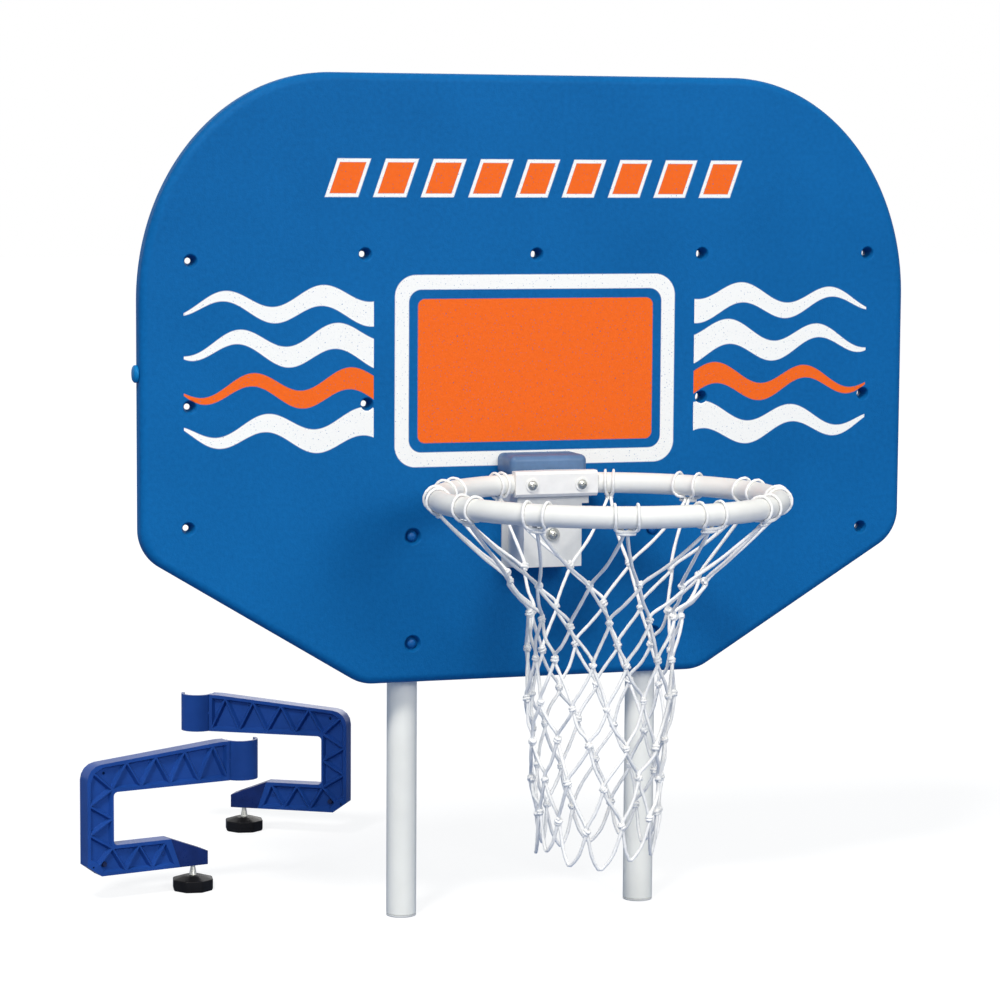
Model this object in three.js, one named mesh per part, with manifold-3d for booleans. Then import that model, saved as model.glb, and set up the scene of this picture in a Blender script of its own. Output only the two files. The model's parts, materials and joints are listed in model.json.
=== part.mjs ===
// Poolside basketball hoop: a hollow moulded backboard on two tube posts, a tube rim held by a moulded
// standoff, a net, and two screw-clamp deck brackets that stand beside the hoop on their knobs.
// Millimetres, +Z up. The board's face is the plane y = 0 and looks towards -Y; the posts' feet are at z = 0.

import * as THREE from "three";
import { mergeVertices } from "three/addons/utils/BufferGeometryUtils.js";
import Module from "manifold-3d";

// Clearances
const seatGap = 0.3;
const cutOverrun = 2;

// Backboard
const boardHalfWidth = 559;
const boardHeight = 838;
const boardBottom = 338;
const boardThickness = 38;
const boardWall = 3;
const boardEdgeRound = 12;
const shoulderRun = 266;
const shoulderRise = 308;
const chamferRun = 310;
const chamferRise = 188;
const cornerRadius = 60;
const tackMouth = 18;
const tackThroat = 8;

// Edge plug
const plugHeadDiameter = 24;
const plugHeadLength = 7;
const plugHeadChamfer = 2;
const plugNeckDiameter = 15;
const plugNeckLength = 12;
const plugRise = 433;

// Posts and their bolts
const postDiameter = 42.2;
const postWall = 3.6;
const postSpacing = 356;
const postSink = 8;
const postOverlap = 362;
const capFlange = 3;
const capPlugLength = 18;
const capWall = 2.5;
const postBoltDiameter = 8;
const postBoltHeadDiameter = 15;
const postBoltHeadHeight = 5;
const postBoltLowRise = 55;
const postBoltHighRise = 204;
const postRecessMouth = 22;
const postRecessFloor = 17;
const postRecessDepth = 9;
const postWasherDiameter = 18;
const postWasherThickness = 1.6;
const postNutWidth = 13;
const postNutHeight = 6.5;
const boltTail = 4;

// Rim
const ringRadius = 224;
const ringTube = 28.6;
const ringTubeWall = 2.4;
const ringRise = 280;
const ringStandoff = 64;

// Standoff, collar and hood that hold the rim
const standHalfWidth = 42;
const standDrop = 115;
const standFront = 74;
const standWall = 4;
const standRibWidth = 18;
const flangeLip = 8;
const flangeThickness = 4;
const saddleHalfWidth = 52;
const saddleRise = 14;
const saddleDrop = 28;
const collarHalfWidth = 59.5;
const collarRise = 18.5;
const collarDrop = 16.4;
const collarFront = 90;
const collarEdgeRound = 4;
const hoodWall = 3.5;
const hoodFront = 58;
const hoodBackRise = 27;
const hoodFrontRise = 19;
const hoodSkirt = 10;
const hoodRound = 7;

// Rim bolts and the plate behind the board
const rimBoltDiameter = 6;
const rimBoltHeadDiameter = 13.5;
const rimBoltHeadHeight = 4;
const rimBoltSpacing = 72;
const rimBoltLowerDrop = 70;
const rimWasherDiameter = 19;
const rimWasherThickness = 1.6;
const rimNutWidth = 10;
const rimNutHeight = 5;
const rimColumnDiameter = 18;
const crossLength = 7;
const crossWidth = 1.6;
const crossDepth = 1.8;
const backPlateThickness = 2;
const backPlateMargin = 12;

// Net
const cordDiameter = 4.8;
const netWall = 2;
const netClearance = 3;
const hitchSpread = 24;
const hitchCount = 12;
const hitchStartAngle = 21;
const netRowDrops = [100, 152, 205, 258, 311, 364, 417];
const netRowRadii = [135, 107, 103, 101, 98, 95, 91];
const netLoopDrop = 478;
const netLoopRadius = 88;
const netLean = 14;

// Deck bracket: u runs from the back of the C along its arms, v runs up from the underside of the lower arm
const armLength = 275;
const armThickness = 26;
const armHeelHeight = 160;
const armPeakRise = 18;
const armPeakRun = 212;
const armUnderside = 120;
const armBackDepth = 41;
const lowerArmTop = 43;
const lowerArmEnd = 131;
const heelRadius = 24;
const heelChamferRun = 22;
const heelChamferRise = 16;
const throatRadius = 6;
const armRimWidth = 4;
const armRibCrest = 2;
const armRibRoot = 8;
const armPocketDepth = 6;
const upperBays = 4;
const backBays = 2;
const lowerBays = 2;
const saddleWall = 4;
const saddleClearance = 0.5;
const gussetThickness = 4;
const heelHoleRun = 28;
const heelHoleInset = 12;
const heelHoleDiameter = 4.5;
const heelHoleDepth = 8;
const heelPinholeRun = 9;
const heelPinholeRise = 14;
const heelPinholeDiameter = 3;

// Jaw block on the slanting end of the lower arm, its moulded-in nut, screw, pad and knob; the screw's neck
// is a cone that goes up into the jaw when the knob is turned
const jawLength = 59;
const jawTipHeight = 20;
const jawSlant = 15;
const tenonLength = 20;
const tenonThickness = 8;
const tenonHeight = 22;
const jawPinDiameter = 6;
const studDiameter = 6;
const studRun = 172;
const studTravel = 10;
const neckDiameter = 11.4;
const nutWidth = 13;
const nutHeight = 5;
const padDiameter = 18;
const padThickness = 5;
const padTop = 23;
const padSocketDepth = 3;
const knobClearance = 16;
const knobDiameter = 62;
const knobHeight = 22;
const knobSkirtChamfer = 3;
const knobSideHeight = 17;
const knobCrownDiameter = 26;
const knobSocketDepth = 12;
const cornerScrewDiameter = 5;
const cornerScrewHeadDiameter = 9;
const cornerScrewHeadHeight = 2.5;
const cornerScrewLength = 12;
const cornerScrewRise = 16;

// Where the two brackets stand: how far each knob's foot is to the left of the hoop's middle and behind the
// board's face, and the heading of the bracket's arms
const nearBracketLeft = 421;
const nearBracketBehind = 294;
const farBracketLeft = 245;
const farBracketBehind = 689;
const bracketPlaces = [
  { name: "bracket_a", x: -nearBracketLeft, y: nearBracketBehind, headingDegrees: 12.9, bulgeSide: -1 },
  { name: "bracket_b", x: -farBracketLeft, y: farBracketBehind, headingDegrees: 148, bulgeSide: 1 },
];

// Shares: tack-offs as shares of the board's half width and height, and facet counts
const tackPlaceShares = [
  [-0.877, 0.697], [-0.442, 0.707], [0, 0.706], [0.44, 0.706], [0.896, 0.706],
  [-0.88, 0.463], [-0.437, 0.463], [0.442, 0.465], [0.889, 0.466],
  [-0.884, 0.267], [0.889, 0.236],
];
const domeShoulderShare = 0.75;
const domeTopShare = 0.4;
const roundFacets = 18;
const boltFacets = 8;
const hexFacets = 6;
const knobFacets = 8;
const ringFacets = 40;
const tubeFacets = 10;
const boreFacets = 6;
const cordFacets = 3;
const hitchFacets = 8;
const netFacets = 36;
const cornerSteps = 4;
const shoulderSteps = 12;
const edgeSteps = 2;
const filletSteps = 3;

// Places worked out from the sizes above
const boardTop = boardBottom + boardHeight;
const boardMiddle = boardThickness / 2;
const postRadius = postDiameter / 2;
const postY = boardThickness + postRadius - postSink;
const postTop = boardBottom + postOverlap;
const tubeRadius = ringTube / 2;
const ringZ = boardBottom + ringRise;
const ringY = -(ringStandoff + ringRadius);
const backPlateY = boardThickness + seatGap;
const rimNutY = backPlateY + backPlateThickness + seatGap;
const rimBoltEnd = rimNutY + rimNutHeight + boltTail;
const armHeight = armHeelHeight + armPeakRise;
const studBoreRadius = (studDiameter / 2 + seatGap) / Math.cos(Math.PI / boltFacets);
const neckBoreRadius = (neckDiameter / 2 + seatGap) / Math.cos(Math.PI / boltFacets);
const nutRise = studTravel + 2 * seatGap;
const knobDrop = knobClearance + knobHeight;

const wasm = await Module();
wasm.setup();

// Solids and meshes

function closedGeometry(geometry) {
  const bare = geometry.index ? geometry.toNonIndexed() : geometry.clone();
  bare.deleteAttribute("normal");
  bare.deleteAttribute("uv");
  const merged = mergeVertices(bare);
  const source = merged.index.array;
  const position = merged.attributes.position;
  const [a, b, c] = [new THREE.Vector3(), new THREE.Vector3(), new THREE.Vector3()];
  const faces = [];
  let volume = 0;
  for (let i = 0; i < source.length; i += 3) {
    const [p, q, r] = [source[i], source[i + 1], source[i + 2]];
    if (p === q || q === r || r === p) continue;
    faces.push(p, q, r);
    a.fromBufferAttribute(position, p);
    b.fromBufferAttribute(position, q);
    c.fromBufferAttribute(position, r);
    volume += a.dot(b.cross(c));
  }
  if (volume < 0) faces.reverse();
  merged.setIndex(faces);
  return merged;
}

function solidOf(geometry) {
  const closed = closedGeometry(geometry);
  const vertProperties = new Float32Array(closed.attributes.position.array);
  const triVerts = new Uint32Array(closed.index.array);
  return new wasm.Manifold(new wasm.Mesh({ numProp: 3, vertProperties, triVerts }));
}

function geometryOf(solid) {
  const mesh = solid.getMesh();
  const geometry = new THREE.BufferGeometry();
  geometry.setAttribute("position", new THREE.BufferAttribute(mesh.vertProperties, 3));
  geometry.setIndex(new THREE.BufferAttribute(mesh.triVerts, 1));
  geometry.computeVertexNormals();
  return geometry;
}

function joined(solids) {
  return solids.reduce((whole, next) => whole.add(next));
}

function box(x0, x1, y0, y1, z0, z1) {
  const geometry = new THREE.BoxGeometry(x1 - x0, y1 - y0, z1 - z0);
  return geometry.translate((x0 + x1) / 2, (y0 + y1) / 2, (z0 + z1) / 2);
}

// A turned solid about the X, Y or Z axis; the profile's points are [radius, distance along the axis]
function turned(profile, axis, facets) {
  const points = profile.map(([radius, along]) => new THREE.Vector2(radius, along));
  const geometry = new THREE.LatheGeometry(points, facets);
  if (axis === "x") geometry.rotateZ(-Math.PI / 2);
  if (axis === "z") geometry.rotateX(Math.PI / 2);
  return geometry;
}

function rod(radius, from, to, axis, facets) {
  return turned([[0, from], [radius, from], [radius, to], [0, to]], axis, facets);
}

function washer(outerRadius, innerRadius, from, to, axis, facets) {
  const profile = [
    [innerRadius, from], [outerRadius, from], [outerRadius, to], [innerRadius, to], [innerRadius, from],
  ];
  return turned(profile, axis, facets);
}

// A hexagon nut with its bore along Y or Z
function nut(width, boreRadius, from, to, axis) {
  const outer = solidOf(rod(width / Math.sqrt(3), from, to, axis, hexFacets));
  const bore = solidOf(rod(boreRadius, from - cutOverrun, to + cutOverrun, axis, boltFacets));
  return geometryOf(outer.subtract(bore));
}

// An outline in X and Z, extruded along Y from y0 to y1, with rounded edges where edge is given
function slab(outline, y0, y1, edge = 0, holes = []) {
  const shape = new THREE.Shape(outline);
  for (const hole of holes) shape.holes.push(new THREE.Path(hole));
  const geometry = new THREE.ExtrudeGeometry(shape, {
    depth: y1 - y0 - 2 * edge,
    bevelEnabled: edge > 0,
    bevelThickness: edge,
    bevelSize: edge,
    bevelOffset: -edge,
    bevelSegments: edgeSteps,
    curveSegments: cornerSteps,
  });
  return geometry.rotateX(Math.PI / 2).translate(0, y1 - edge, 0);
}

// The arc that rounds a corner between two straight edges
function roundedCorner(before, corner, after, radius, steps) {
  const toBefore = before.clone().sub(corner).normalize();
  const toAfter = after.clone().sub(corner).normalize();
  const half = toBefore.angleTo(toAfter) / 2;
  const middle = toBefore.clone().add(toAfter).normalize();
  const centre = corner.clone().addScaledVector(middle, radius / Math.sin(half));
  const start = corner.clone().addScaledVector(toBefore, radius / Math.tan(half)).sub(centre);
  const end = corner.clone().addScaledVector(toAfter, radius / Math.tan(half)).sub(centre);
  const sweep = Math.atan2(start.cross(end), start.dot(end));
  const points = [];
  for (let i = 0; i <= steps; i += 1) {
    points.push(start.clone().rotateAround(new THREE.Vector2(), (sweep * i) / steps).add(centre));
  }
  return points;
}

// Backboard

function boardOutline(inset) {
  const chamferLength = Math.hypot(chamferRun, chamferRise);
  const side = boardHalfWidth - inset;
  const bottom = boardBottom + inset;
  const cornerZ = boardBottom + chamferRise + (inset * (chamferLength - chamferRise)) / chamferRun;
  const cornerX = boardHalfWidth - chamferRun - (inset * (chamferLength - chamferRun)) / chamferRise;
  const middle = new THREE.Vector2(0, bottom);
  const foot = new THREE.Vector2(cornerX, bottom);
  const hip = new THREE.Vector2(side, cornerZ);
  const shoulder = new THREE.Vector2(side, boardTop - shoulderRise);
  const right = [
    ...roundedCorner(middle, foot, hip, cornerRadius - inset, cornerSteps),
    ...roundedCorner(foot, hip, shoulder, cornerRadius - inset, cornerSteps),
  ];
  for (let i = 0; i <= shoulderSteps; i += 1) {
    const turn = (Math.PI / 2) * (i / shoulderSteps);
    const x = boardHalfWidth - shoulderRun + (shoulderRun - inset) * Math.cos(turn);
    right.push(new THREE.Vector2(x, boardTop - shoulderRise + (shoulderRise - inset) * Math.sin(turn)));
  }
  const left = right.map((point) => new THREE.Vector2(-point.x, point.y)).reverse();
  return [...right, ...left];
}

// A double cone where the two walls meet, wider by the wall for the material round it
function tackSolid(extra, overrun) {
  const mouth = tackMouth / 2 + extra;
  const throat = tackThroat / 2 + extra;
  const back = boardThickness;
  const profile = [
    [0, -overrun], [mouth, -overrun], [mouth, 0], [throat, boardMiddle], [mouth, back],
    [mouth, back + overrun], [0, back + overrun],
  ];
  return turned(overrun > 0 ? profile : [[0, 0], ...profile.slice(2, 5), [0, back]], "y", boltFacets);
}

function tackPlaces() {
  return tackPlaceShares.map(([x, z]) => [x * boardHalfWidth, boardBottom + z * boardHeight]);
}

function postBoltPlaces() {
  const places = [];
  for (const [side, x] of [["left", -postSpacing / 2], ["right", postSpacing / 2]]) {
    places.push({ name: `${side}_low`, x, z: boardBottom + postBoltLowRise });
    places.push({ name: `${side}_high`, x, z: boardBottom + postBoltHighRise });
  }
  return places;
}

function rimBoltPlaces() {
  return [
    { name: "left", x: -rimBoltSpacing / 2, z: ringZ, seat: -collarFront },
    { name: "right", x: rimBoltSpacing / 2, z: ringZ, seat: -collarFront },
    { name: "lower", x: 0, z: ringZ - rimBoltLowerDrop, seat: -standFront },
  ];
}

function rimBoltHole(place, from, to) {
  const radius = rimBoltDiameter / 2 + seatGap;
  return solidOf(rod(radius, from, to, "y", boltFacets).translate(place.x, 0, place.z));
}

function backboardGeometry() {
  const columnEnd = boardThickness - boardWall / 2;
  const postBoltRadius = postBoltDiameter / 2 + seatGap;
  let shell = solidOf(slab(boardOutline(0), 0, boardThickness, boardEdgeRound));
  const cavityEdge = boardEdgeRound - boardWall;
  let cavity = solidOf(slab(boardOutline(boardWall), boardWall, boardThickness - boardWall, cavityEdge));
  for (const x of [-postSpacing / 2, postSpacing / 2]) {
    const channel = rod(postRadius + seatGap + boardWall, 0, postTop + boardWall, "z", roundFacets);
    cavity = cavity.subtract(solidOf(channel.translate(x, postY, 0)));
  }
  shell = shell.subtract(cavity);
  const added = tackPlaces().map(([x, z]) => solidOf(tackSolid(boardWall, 0).translate(x, 0, z)));
  for (const { x, z } of postBoltPlaces()) {
    const radius = postRecessMouth / 2 + boardWall;
    added.push(solidOf(rod(radius, boardWall / 2, columnEnd, "y", boltFacets).translate(x, 0, z)));
  }
  for (const { x, z } of rimBoltPlaces()) {
    const column = rod(rimColumnDiameter / 2, boardWall / 2, columnEnd, "y", boltFacets);
    added.push(solidOf(column.translate(x, 0, z)));
  }
  shell = shell.add(joined(added));
  const cuts = tackPlaces().map(([x, z]) => solidOf(tackSolid(0, cutOverrun).translate(x, 0, z)));
  for (const { x, z } of postBoltPlaces()) {
    const end = boardThickness + cutOverrun;
    const profile = [
      [0, -cutOverrun], [postRecessMouth / 2, -cutOverrun], [postRecessMouth / 2, 0],
      [postRecessFloor / 2, postRecessDepth], [postBoltRadius, postRecessDepth],
      [postBoltRadius, end], [0, end],
    ];
    cuts.push(solidOf(turned(profile, "y", boltFacets).translate(x, 0, z)));
  }
  for (const place of rimBoltPlaces()) {
    cuts.push(rimBoltHole(place, -cutOverrun, boardThickness + cutOverrun));
  }
  for (const x of [-postSpacing / 2, postSpacing / 2]) {
    const channel = rod(postRadius + seatGap, 0, postTop + seatGap, "z", roundFacets);
    cuts.push(solidOf(channel.translate(x, postY, 0)));
  }
  const plugHole = rod(plugNeckDiameter / 2 + seatGap, -cutOverrun, plugNeckLength, "x", boltFacets);
  cuts.push(solidOf(plugHole.translate(-boardHalfWidth, boardMiddle, boardBottom + plugRise)));
  return geometryOf(shell.subtract(joined(cuts)));
}

function edgePlugGeometry() {
  const head = plugHeadDiameter / 2;
  const neck = plugNeckDiameter / 2;
  const outer = -(seatGap + plugHeadLength);
  const profile = [
    [0, outer], [head - plugHeadChamfer, outer], [head, outer + plugHeadChamfer], [head, -seatGap],
    [neck, -seatGap], [neck, plugNeckLength - plugHeadChamfer], [neck - plugHeadChamfer, plugNeckLength],
    [0, plugNeckLength],
  ];
  return turned(profile, "x", boltFacets);
}

// Posts

function postGeometry() {
  const foot = capFlange + seatGap;
  const top = postTop - capFlange - seatGap;
  let tube = solidOf(washer(postRadius, postRadius - postWall, foot, top, "z", roundFacets));
  for (const { x, z } of postBoltPlaces()) {
    if (x > 0) continue;
    const hole = rod(postBoltDiameter / 2 + seatGap, -postDiameter, postDiameter, "y", boltFacets);
    tube = tube.subtract(solidOf(hole.translate(0, 0, z)));
  }
  return geometryOf(tube);
}

// A cap with its flange at distance zero and its hollow plug on the side of the given direction
function postCapGeometry(direction) {
  const plug = postRadius - postWall - seatGap;
  const deep = capFlange + capPlugLength;
  const profile = [
    [0, 0], [postRadius, 0], [postRadius, capFlange], [plug, capFlange], [plug, deep],
    [plug - capWall, deep], [plug - capWall, capFlange], [0, capFlange],
  ];
  return turned(profile.map(([radius, along]) => [radius, along * direction]), "z", roundFacets);
}

// A round-headed bolt through the board and a post, its head on the floor of the recess
function postBoltGeometry() {
  const shank = postBoltDiameter / 2;
  const head = postBoltHeadDiameter / 2;
  const seat = postRecessDepth - seatGap;
  const crown = seat - postBoltHeadHeight;
  const nutSeat = postY + postRadius + seatGap + postWasherThickness + seatGap;
  const end = nutSeat + postNutHeight + boltTail;
  const profile = [
    [0, crown], [head * domeTopShare, crown], [head, seat - postBoltHeadHeight * domeTopShare], [head, seat],
    [shank, seat], [shank, end], [0, end],
  ];
  return turned(profile, "y", boltFacets);
}

function postWasherGeometry() {
  const start = postY + postRadius + seatGap;
  const bore = postBoltDiameter / 2 + seatGap;
  return washer(postWasherDiameter / 2, bore, start, start + postWasherThickness, "y", boltFacets);
}

function postNutGeometry() {
  const start = postY + postRadius + seatGap + postWasherThickness + seatGap;
  return nut(postNutWidth, postBoltDiameter / 2 + seatGap, start, start + postNutHeight, "y");
}

// Rim

function ringSolid(radius, facets) {
  const torus = new THREE.TorusGeometry(ringRadius, radius, facets, ringFacets);
  return solidOf(torus.translate(0, ringY, ringZ));
}

function ringGeometry() {
  let ring = ringSolid(tubeRadius, tubeFacets);
  ring = ring.subtract(ringSolid(tubeRadius - ringTubeWall, boreFacets));
  for (const place of rimBoltPlaces().slice(0, 2)) {
    ring = ring.subtract(rimBoltHole(place, -collarFront, 0));
  }
  return geometryOf(ring);
}

// The upright cylinder that follows the middle of the ring's tube, which parts the collar from the saddle
function partingSolid(radius, z0, z1) {
  return solidOf(rod(radius, z0, z1, "z", ringFacets).translate(0, ringY, 0));
}

function rimBracketGeometry() {
  const back = -seatGap;
  const front = -standFront;
  const bottom = ringZ - standDrop;
  const top = ringZ + saddleRise;
  const ledge = ringZ - collarDrop - seatGap;
  const [half, lip] = [standHalfWidth, flangeLip];
  let bracket = joined([
    solidOf(box(-half, half, front, back, bottom, ledge)),
    solidOf(box(-half - lip, half + lip, back - flangeThickness, back, bottom - lip, ledge)),
    solidOf(box(-saddleHalfWidth, saddleHalfWidth, front, back, ringZ - saddleDrop, top)),
  ]);
  bracket = bracket.subtract(partingSolid(ringRadius + seatGap / 2, ledge, top + cutOverrun));
  bracket = bracket.subtract(ringSolid(tubeRadius + seatGap, tubeFacets));
  for (const side of [-1, 1]) {
    const inner = (side * standRibWidth) / 2;
    const outer = side * (half - standWall);
    const pocketTop = ringZ - saddleDrop - standWall;
    const pocket = box(
      Math.min(inner, outer), Math.max(inner, outer), front + standWall, back + cutOverrun,
      bottom + standWall, pocketTop,
    );
    bracket = bracket.subtract(solidOf(pocket));
  }
  for (const place of rimBoltPlaces()) {
    bracket = bracket.subtract(rimBoltHole(place, -collarFront, cutOverrun));
  }
  return geometryOf(bracket);
}

function rimCollarGeometry() {
  const [bottom, top] = [ringZ - collarDrop, ringZ + collarRise];
  const [edge, front] = [collarEdgeRound, -collarFront];
  const outline = [
    [0, bottom], [front + edge, bottom], [front, bottom + edge],
    [front, top - edge], [front + edge, top], [0, top],
  ];
  const shape = new THREE.Shape(outline.map(([y, z]) => new THREE.Vector2(y, z)));
  const bar = new THREE.ExtrudeGeometry(shape, { depth: 2 * collarHalfWidth, bevelEnabled: false });
  bar.rotateX(Math.PI / 2).rotateZ(Math.PI / 2).translate(-collarHalfWidth, 0, 0);
  let collar = solidOf(bar);
  collar = collar.intersect(partingSolid(ringRadius - seatGap / 2, bottom - cutOverrun, top + cutOverrun));
  collar = collar.subtract(ringSolid(tubeRadius + seatGap, tubeFacets));
  for (const place of rimBoltPlaces().slice(0, 2)) {
    collar = collar.subtract(rimBoltHole(place, -collarFront - cutOverrun, 0));
  }
  return geometryOf(collar);
}

// The hood is a channel with skirts down both sides of the saddle, and slopes down towards the ring
function rimHoodGeometry() {
  const base = ringZ + saddleRise + seatGap;
  const half = saddleHalfWidth + seatGap + hoodWall;
  const [back, front] = [-2 * seatGap, -hoodFront];
  const [high, low] = [ringZ + saddleRise + hoodBackRise, ringZ + saddleRise + hoodFrontRise];
  const outline = [
    [back, base - hoodSkirt], [back, high - hoodRound / 2], [back - hoodRound / 2, high],
    [front + hoodRound, low], [front, low - hoodRound], [front, base - hoodSkirt / 2],
    [front + hoodSkirt / 2, base - hoodSkirt],
  ];
  const shape = new THREE.Shape(outline.map(([y, z]) => new THREE.Vector2(y, z)));
  const bar = new THREE.ExtrudeGeometry(shape, {
    depth: 2 * (half - hoodRound), bevelThickness: hoodRound, bevelSize: hoodRound / 2,
    bevelOffset: -hoodRound / 2, bevelSegments: edgeSteps,
  });
  bar.rotateX(Math.PI / 2).rotateZ(Math.PI / 2).translate(hoodRound - half, 0, 0);
  const inner = saddleHalfWidth + seatGap;
  const channel = box(-inner, inner, front - cutOverrun, cutOverrun, base - hoodSkirt - cutOverrun, base);
  const lift = low - hoodWall - hoodRound;
  const hollow = box(
    hoodWall - inner, inner - hoodWall, front + 2 * hoodWall, back - hoodWall, base - cutOverrun, lift,
  );
  return geometryOf(solidOf(bar).subtract(solidOf(channel)).subtract(solidOf(hollow)));
}

// A pan-headed bolt with a cross recess, from the front seat to behind the board
function rimBoltGeometry(seat) {
  const head = seat - seatGap - rimWasherThickness - seatGap;
  const crown = head - rimBoltHeadHeight;
  const [shank, cap] = [rimBoltDiameter / 2, rimBoltHeadDiameter / 2];
  const profile = [
    [0, crown], [cap * domeShoulderShare, crown], [cap, crown + rimBoltHeadHeight * domeTopShare],
    [cap, head], [shank, head], [shank, rimBoltEnd], [0, rimBoltEnd],
  ];
  let bolt = solidOf(turned(profile, "y", boltFacets));
  const [long, thin] = [crossLength / 2, crossWidth / 2];
  const slotY = [crown - cutOverrun, crown + crossDepth];
  bolt = bolt.subtract(solidOf(box(-long, long, ...slotY, -thin, thin)));
  bolt = bolt.subtract(solidOf(box(-thin, thin, ...slotY, -long, long)));
  return geometryOf(bolt);
}

function rimWasherGeometry(seat) {
  const end = seat - seatGap;
  const bore = rimBoltDiameter / 2 + seatGap;
  return washer(rimWasherDiameter / 2, bore, end - rimWasherThickness, end, "y", boltFacets);
}

function rimNutGeometry() {
  return nut(rimNutWidth, rimBoltDiameter / 2 + seatGap, rimNutY, rimNutY + rimNutHeight, "y");
}

function backPlateGeometry() {
  const half = rimBoltSpacing / 2 + backPlateMargin;
  const [bottom, top] = [ringZ - rimBoltLowerDrop - backPlateMargin, ringZ + backPlateMargin];
  let plate = solidOf(box(-half, half, backPlateY, backPlateY + backPlateThickness, bottom, top));
  for (const place of rimBoltPlaces()) plate = plate.subtract(rimBoltHole(place, 0, rimNutY + cutOverrun));
  return geometryOf(plate);
}

// Net: hitches looped over the ring's tube, and the sleeve that hangs from them, open at its top and its foot

function hitchAngle(hitch) {
  const pitch = (360 - 2 * hitchStartAngle) / (hitchCount - 1);
  return THREE.MathUtils.degToRad(hitchStartAngle + hitch * pitch);
}

// One hitch: two turns of cord over the tube, joined under it by the sleeve's edge
function hitchSolids(hitch) {
  const angle = hitchAngle(hitch);
  const turnRadius = tubeRadius + seatGap + cordDiameter / 2;
  const outward = new THREE.Vector3(Math.sin(angle), Math.cos(angle), 0);
  const along = new THREE.Vector3(Math.cos(angle), -Math.sin(angle), 0);
  const basis = new THREE.Matrix4().makeBasis(outward, new THREE.Vector3(0, 0, 1), along);
  const roundRadius = turnRadius / Math.cos(Math.PI / hitchFacets);
  return [-1, 1].map((side) => {
    const torus = new THREE.TorusGeometry(roundRadius, cordDiameter / 2, cordFacets, hitchFacets);
    const middle = outward.clone().multiplyScalar(ringRadius);
    middle.addScaledVector(along, (side * hitchSpread) / 2);
    return solidOf(torus.applyMatrix4(basis).translate(middle.x, ringY + middle.y, ringZ));
  });
}

// The sleeve follows the net's rows from under the tube to the foot, leans as it hangs, and has a notch
// at the top round the standoff and its collar
function sleeveSolid() {
  const rows = netRowDrops.map((drop, row) => [netRowRadii[row], -drop]);
  const line = [[ringRadius, -tubeRadius - seatGap], ...rows, [netLoopRadius, -netLoopDrop]];
  const outside = line.map(([radius, height]) => [radius + netWall / 2, height]);
  const inside = line.map(([radius, height]) => [radius - netWall / 2, height]).reverse();
  const sleeve = turned([...outside, ...inside, outside[0]], "z", netFacets);
  const lean = new THREE.Matrix4().makeShear(0, 0, 0, 0, netLean / netLoopDrop, 0);
  const half = collarHalfWidth + netClearance;
  const reach = collarFront + netClearance;
  const notch = box(-half, half, -reach, 0, ringZ - netRowDrops[0], ringZ);
  return solidOf(sleeve.applyMatrix4(lean).translate(0, ringY, ringZ)).subtract(solidOf(notch));
}

function netGeometry() {
  const solids = [sleeveSolid()];
  for (let hitch = 0; hitch < hitchCount; hitch += 1) solids.push(...hitchSolids(hitch));
  return geometryOf(joined(solids));
}

// Deck bracket, in its own frame: u along X, v along Z, its thickness along Y

function armOutline() {
  const at = (u, v) => new THREE.Vector2(u, v);
  const end = saddleCentre() - postRadius - saddleClearance - saddleWall / 2;
  const slope = [at(armPeakRun, armHeight), at(0, armHeelHeight), at(0, 0)];
  const heel = roundedCorner(...slope, heelRadius, cornerSteps);
  const inner = [
    ...roundedCorner(at(lowerArmEnd, lowerArmTop), at(armBackDepth, lowerArmTop),
      at(armBackDepth, armUnderside), throatRadius, filletSteps),
    ...roundedCorner(at(armBackDepth, lowerArmTop), at(armBackDepth, armUnderside),
      at(end, armUnderside), throatRadius, filletSteps),
  ];
  return [
    at(heelChamferRun, 0), at(lowerArmEnd + jawSlant, 0), at(lowerArmEnd, lowerArmTop), ...inner,
    at(end, armUnderside), at(end, armHeight), at(armPeakRun, armHeight), ...heel, at(0, heelChamferRise),
  ];
}

function saddleCentre() {
  return armLength - saddleWall - saddleClearance - postRadius;
}

// A convex outline drawn in by the same distance on every side
function drawnIn(corners, inset) {
  const count = corners.length;
  const middle = new THREE.Vector2();
  for (const corner of corners) middle.addScaledVector(corner, 1 / count);
  const lines = corners.map((corner, i) => {
    const along = corners[(i + 1) % count].clone().sub(corner).normalize();
    const inward = new THREE.Vector2(-along.y, along.x);
    if (inward.dot(middle.clone().sub(corner)) < 0) inward.negate();
    return { start: corner.clone().addScaledVector(inward, inset), along };
  });
  return lines.map((line, i) => {
    const before = lines[(i + count - 1) % count];
    const reach = line.start.clone().sub(before.start).cross(line.along) / before.along.cross(line.along);
    return before.start.clone().addScaledVector(before.along, reach);
  });
}

// Triangular pockets between two edges, with the zigzag ribs left standing
function trussPockets(inner, outer) {
  const pockets = [];
  for (let i = 0; i < outer.length; i += 1) pockets.push([inner[i], inner[i + 1], outer[i]]);
  for (let i = 1; i < outer.length; i += 1) pockets.push([outer[i - 1], outer[i], inner[i]]);
  return pockets;
}

function evenPoints(start, end, bays, shift = 0) {
  const points = [];
  for (let i = 0; i + shift <= bays; i += 1) points.push(start.clone().lerp(end, (i + shift) / bays));
  return points;
}

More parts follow.
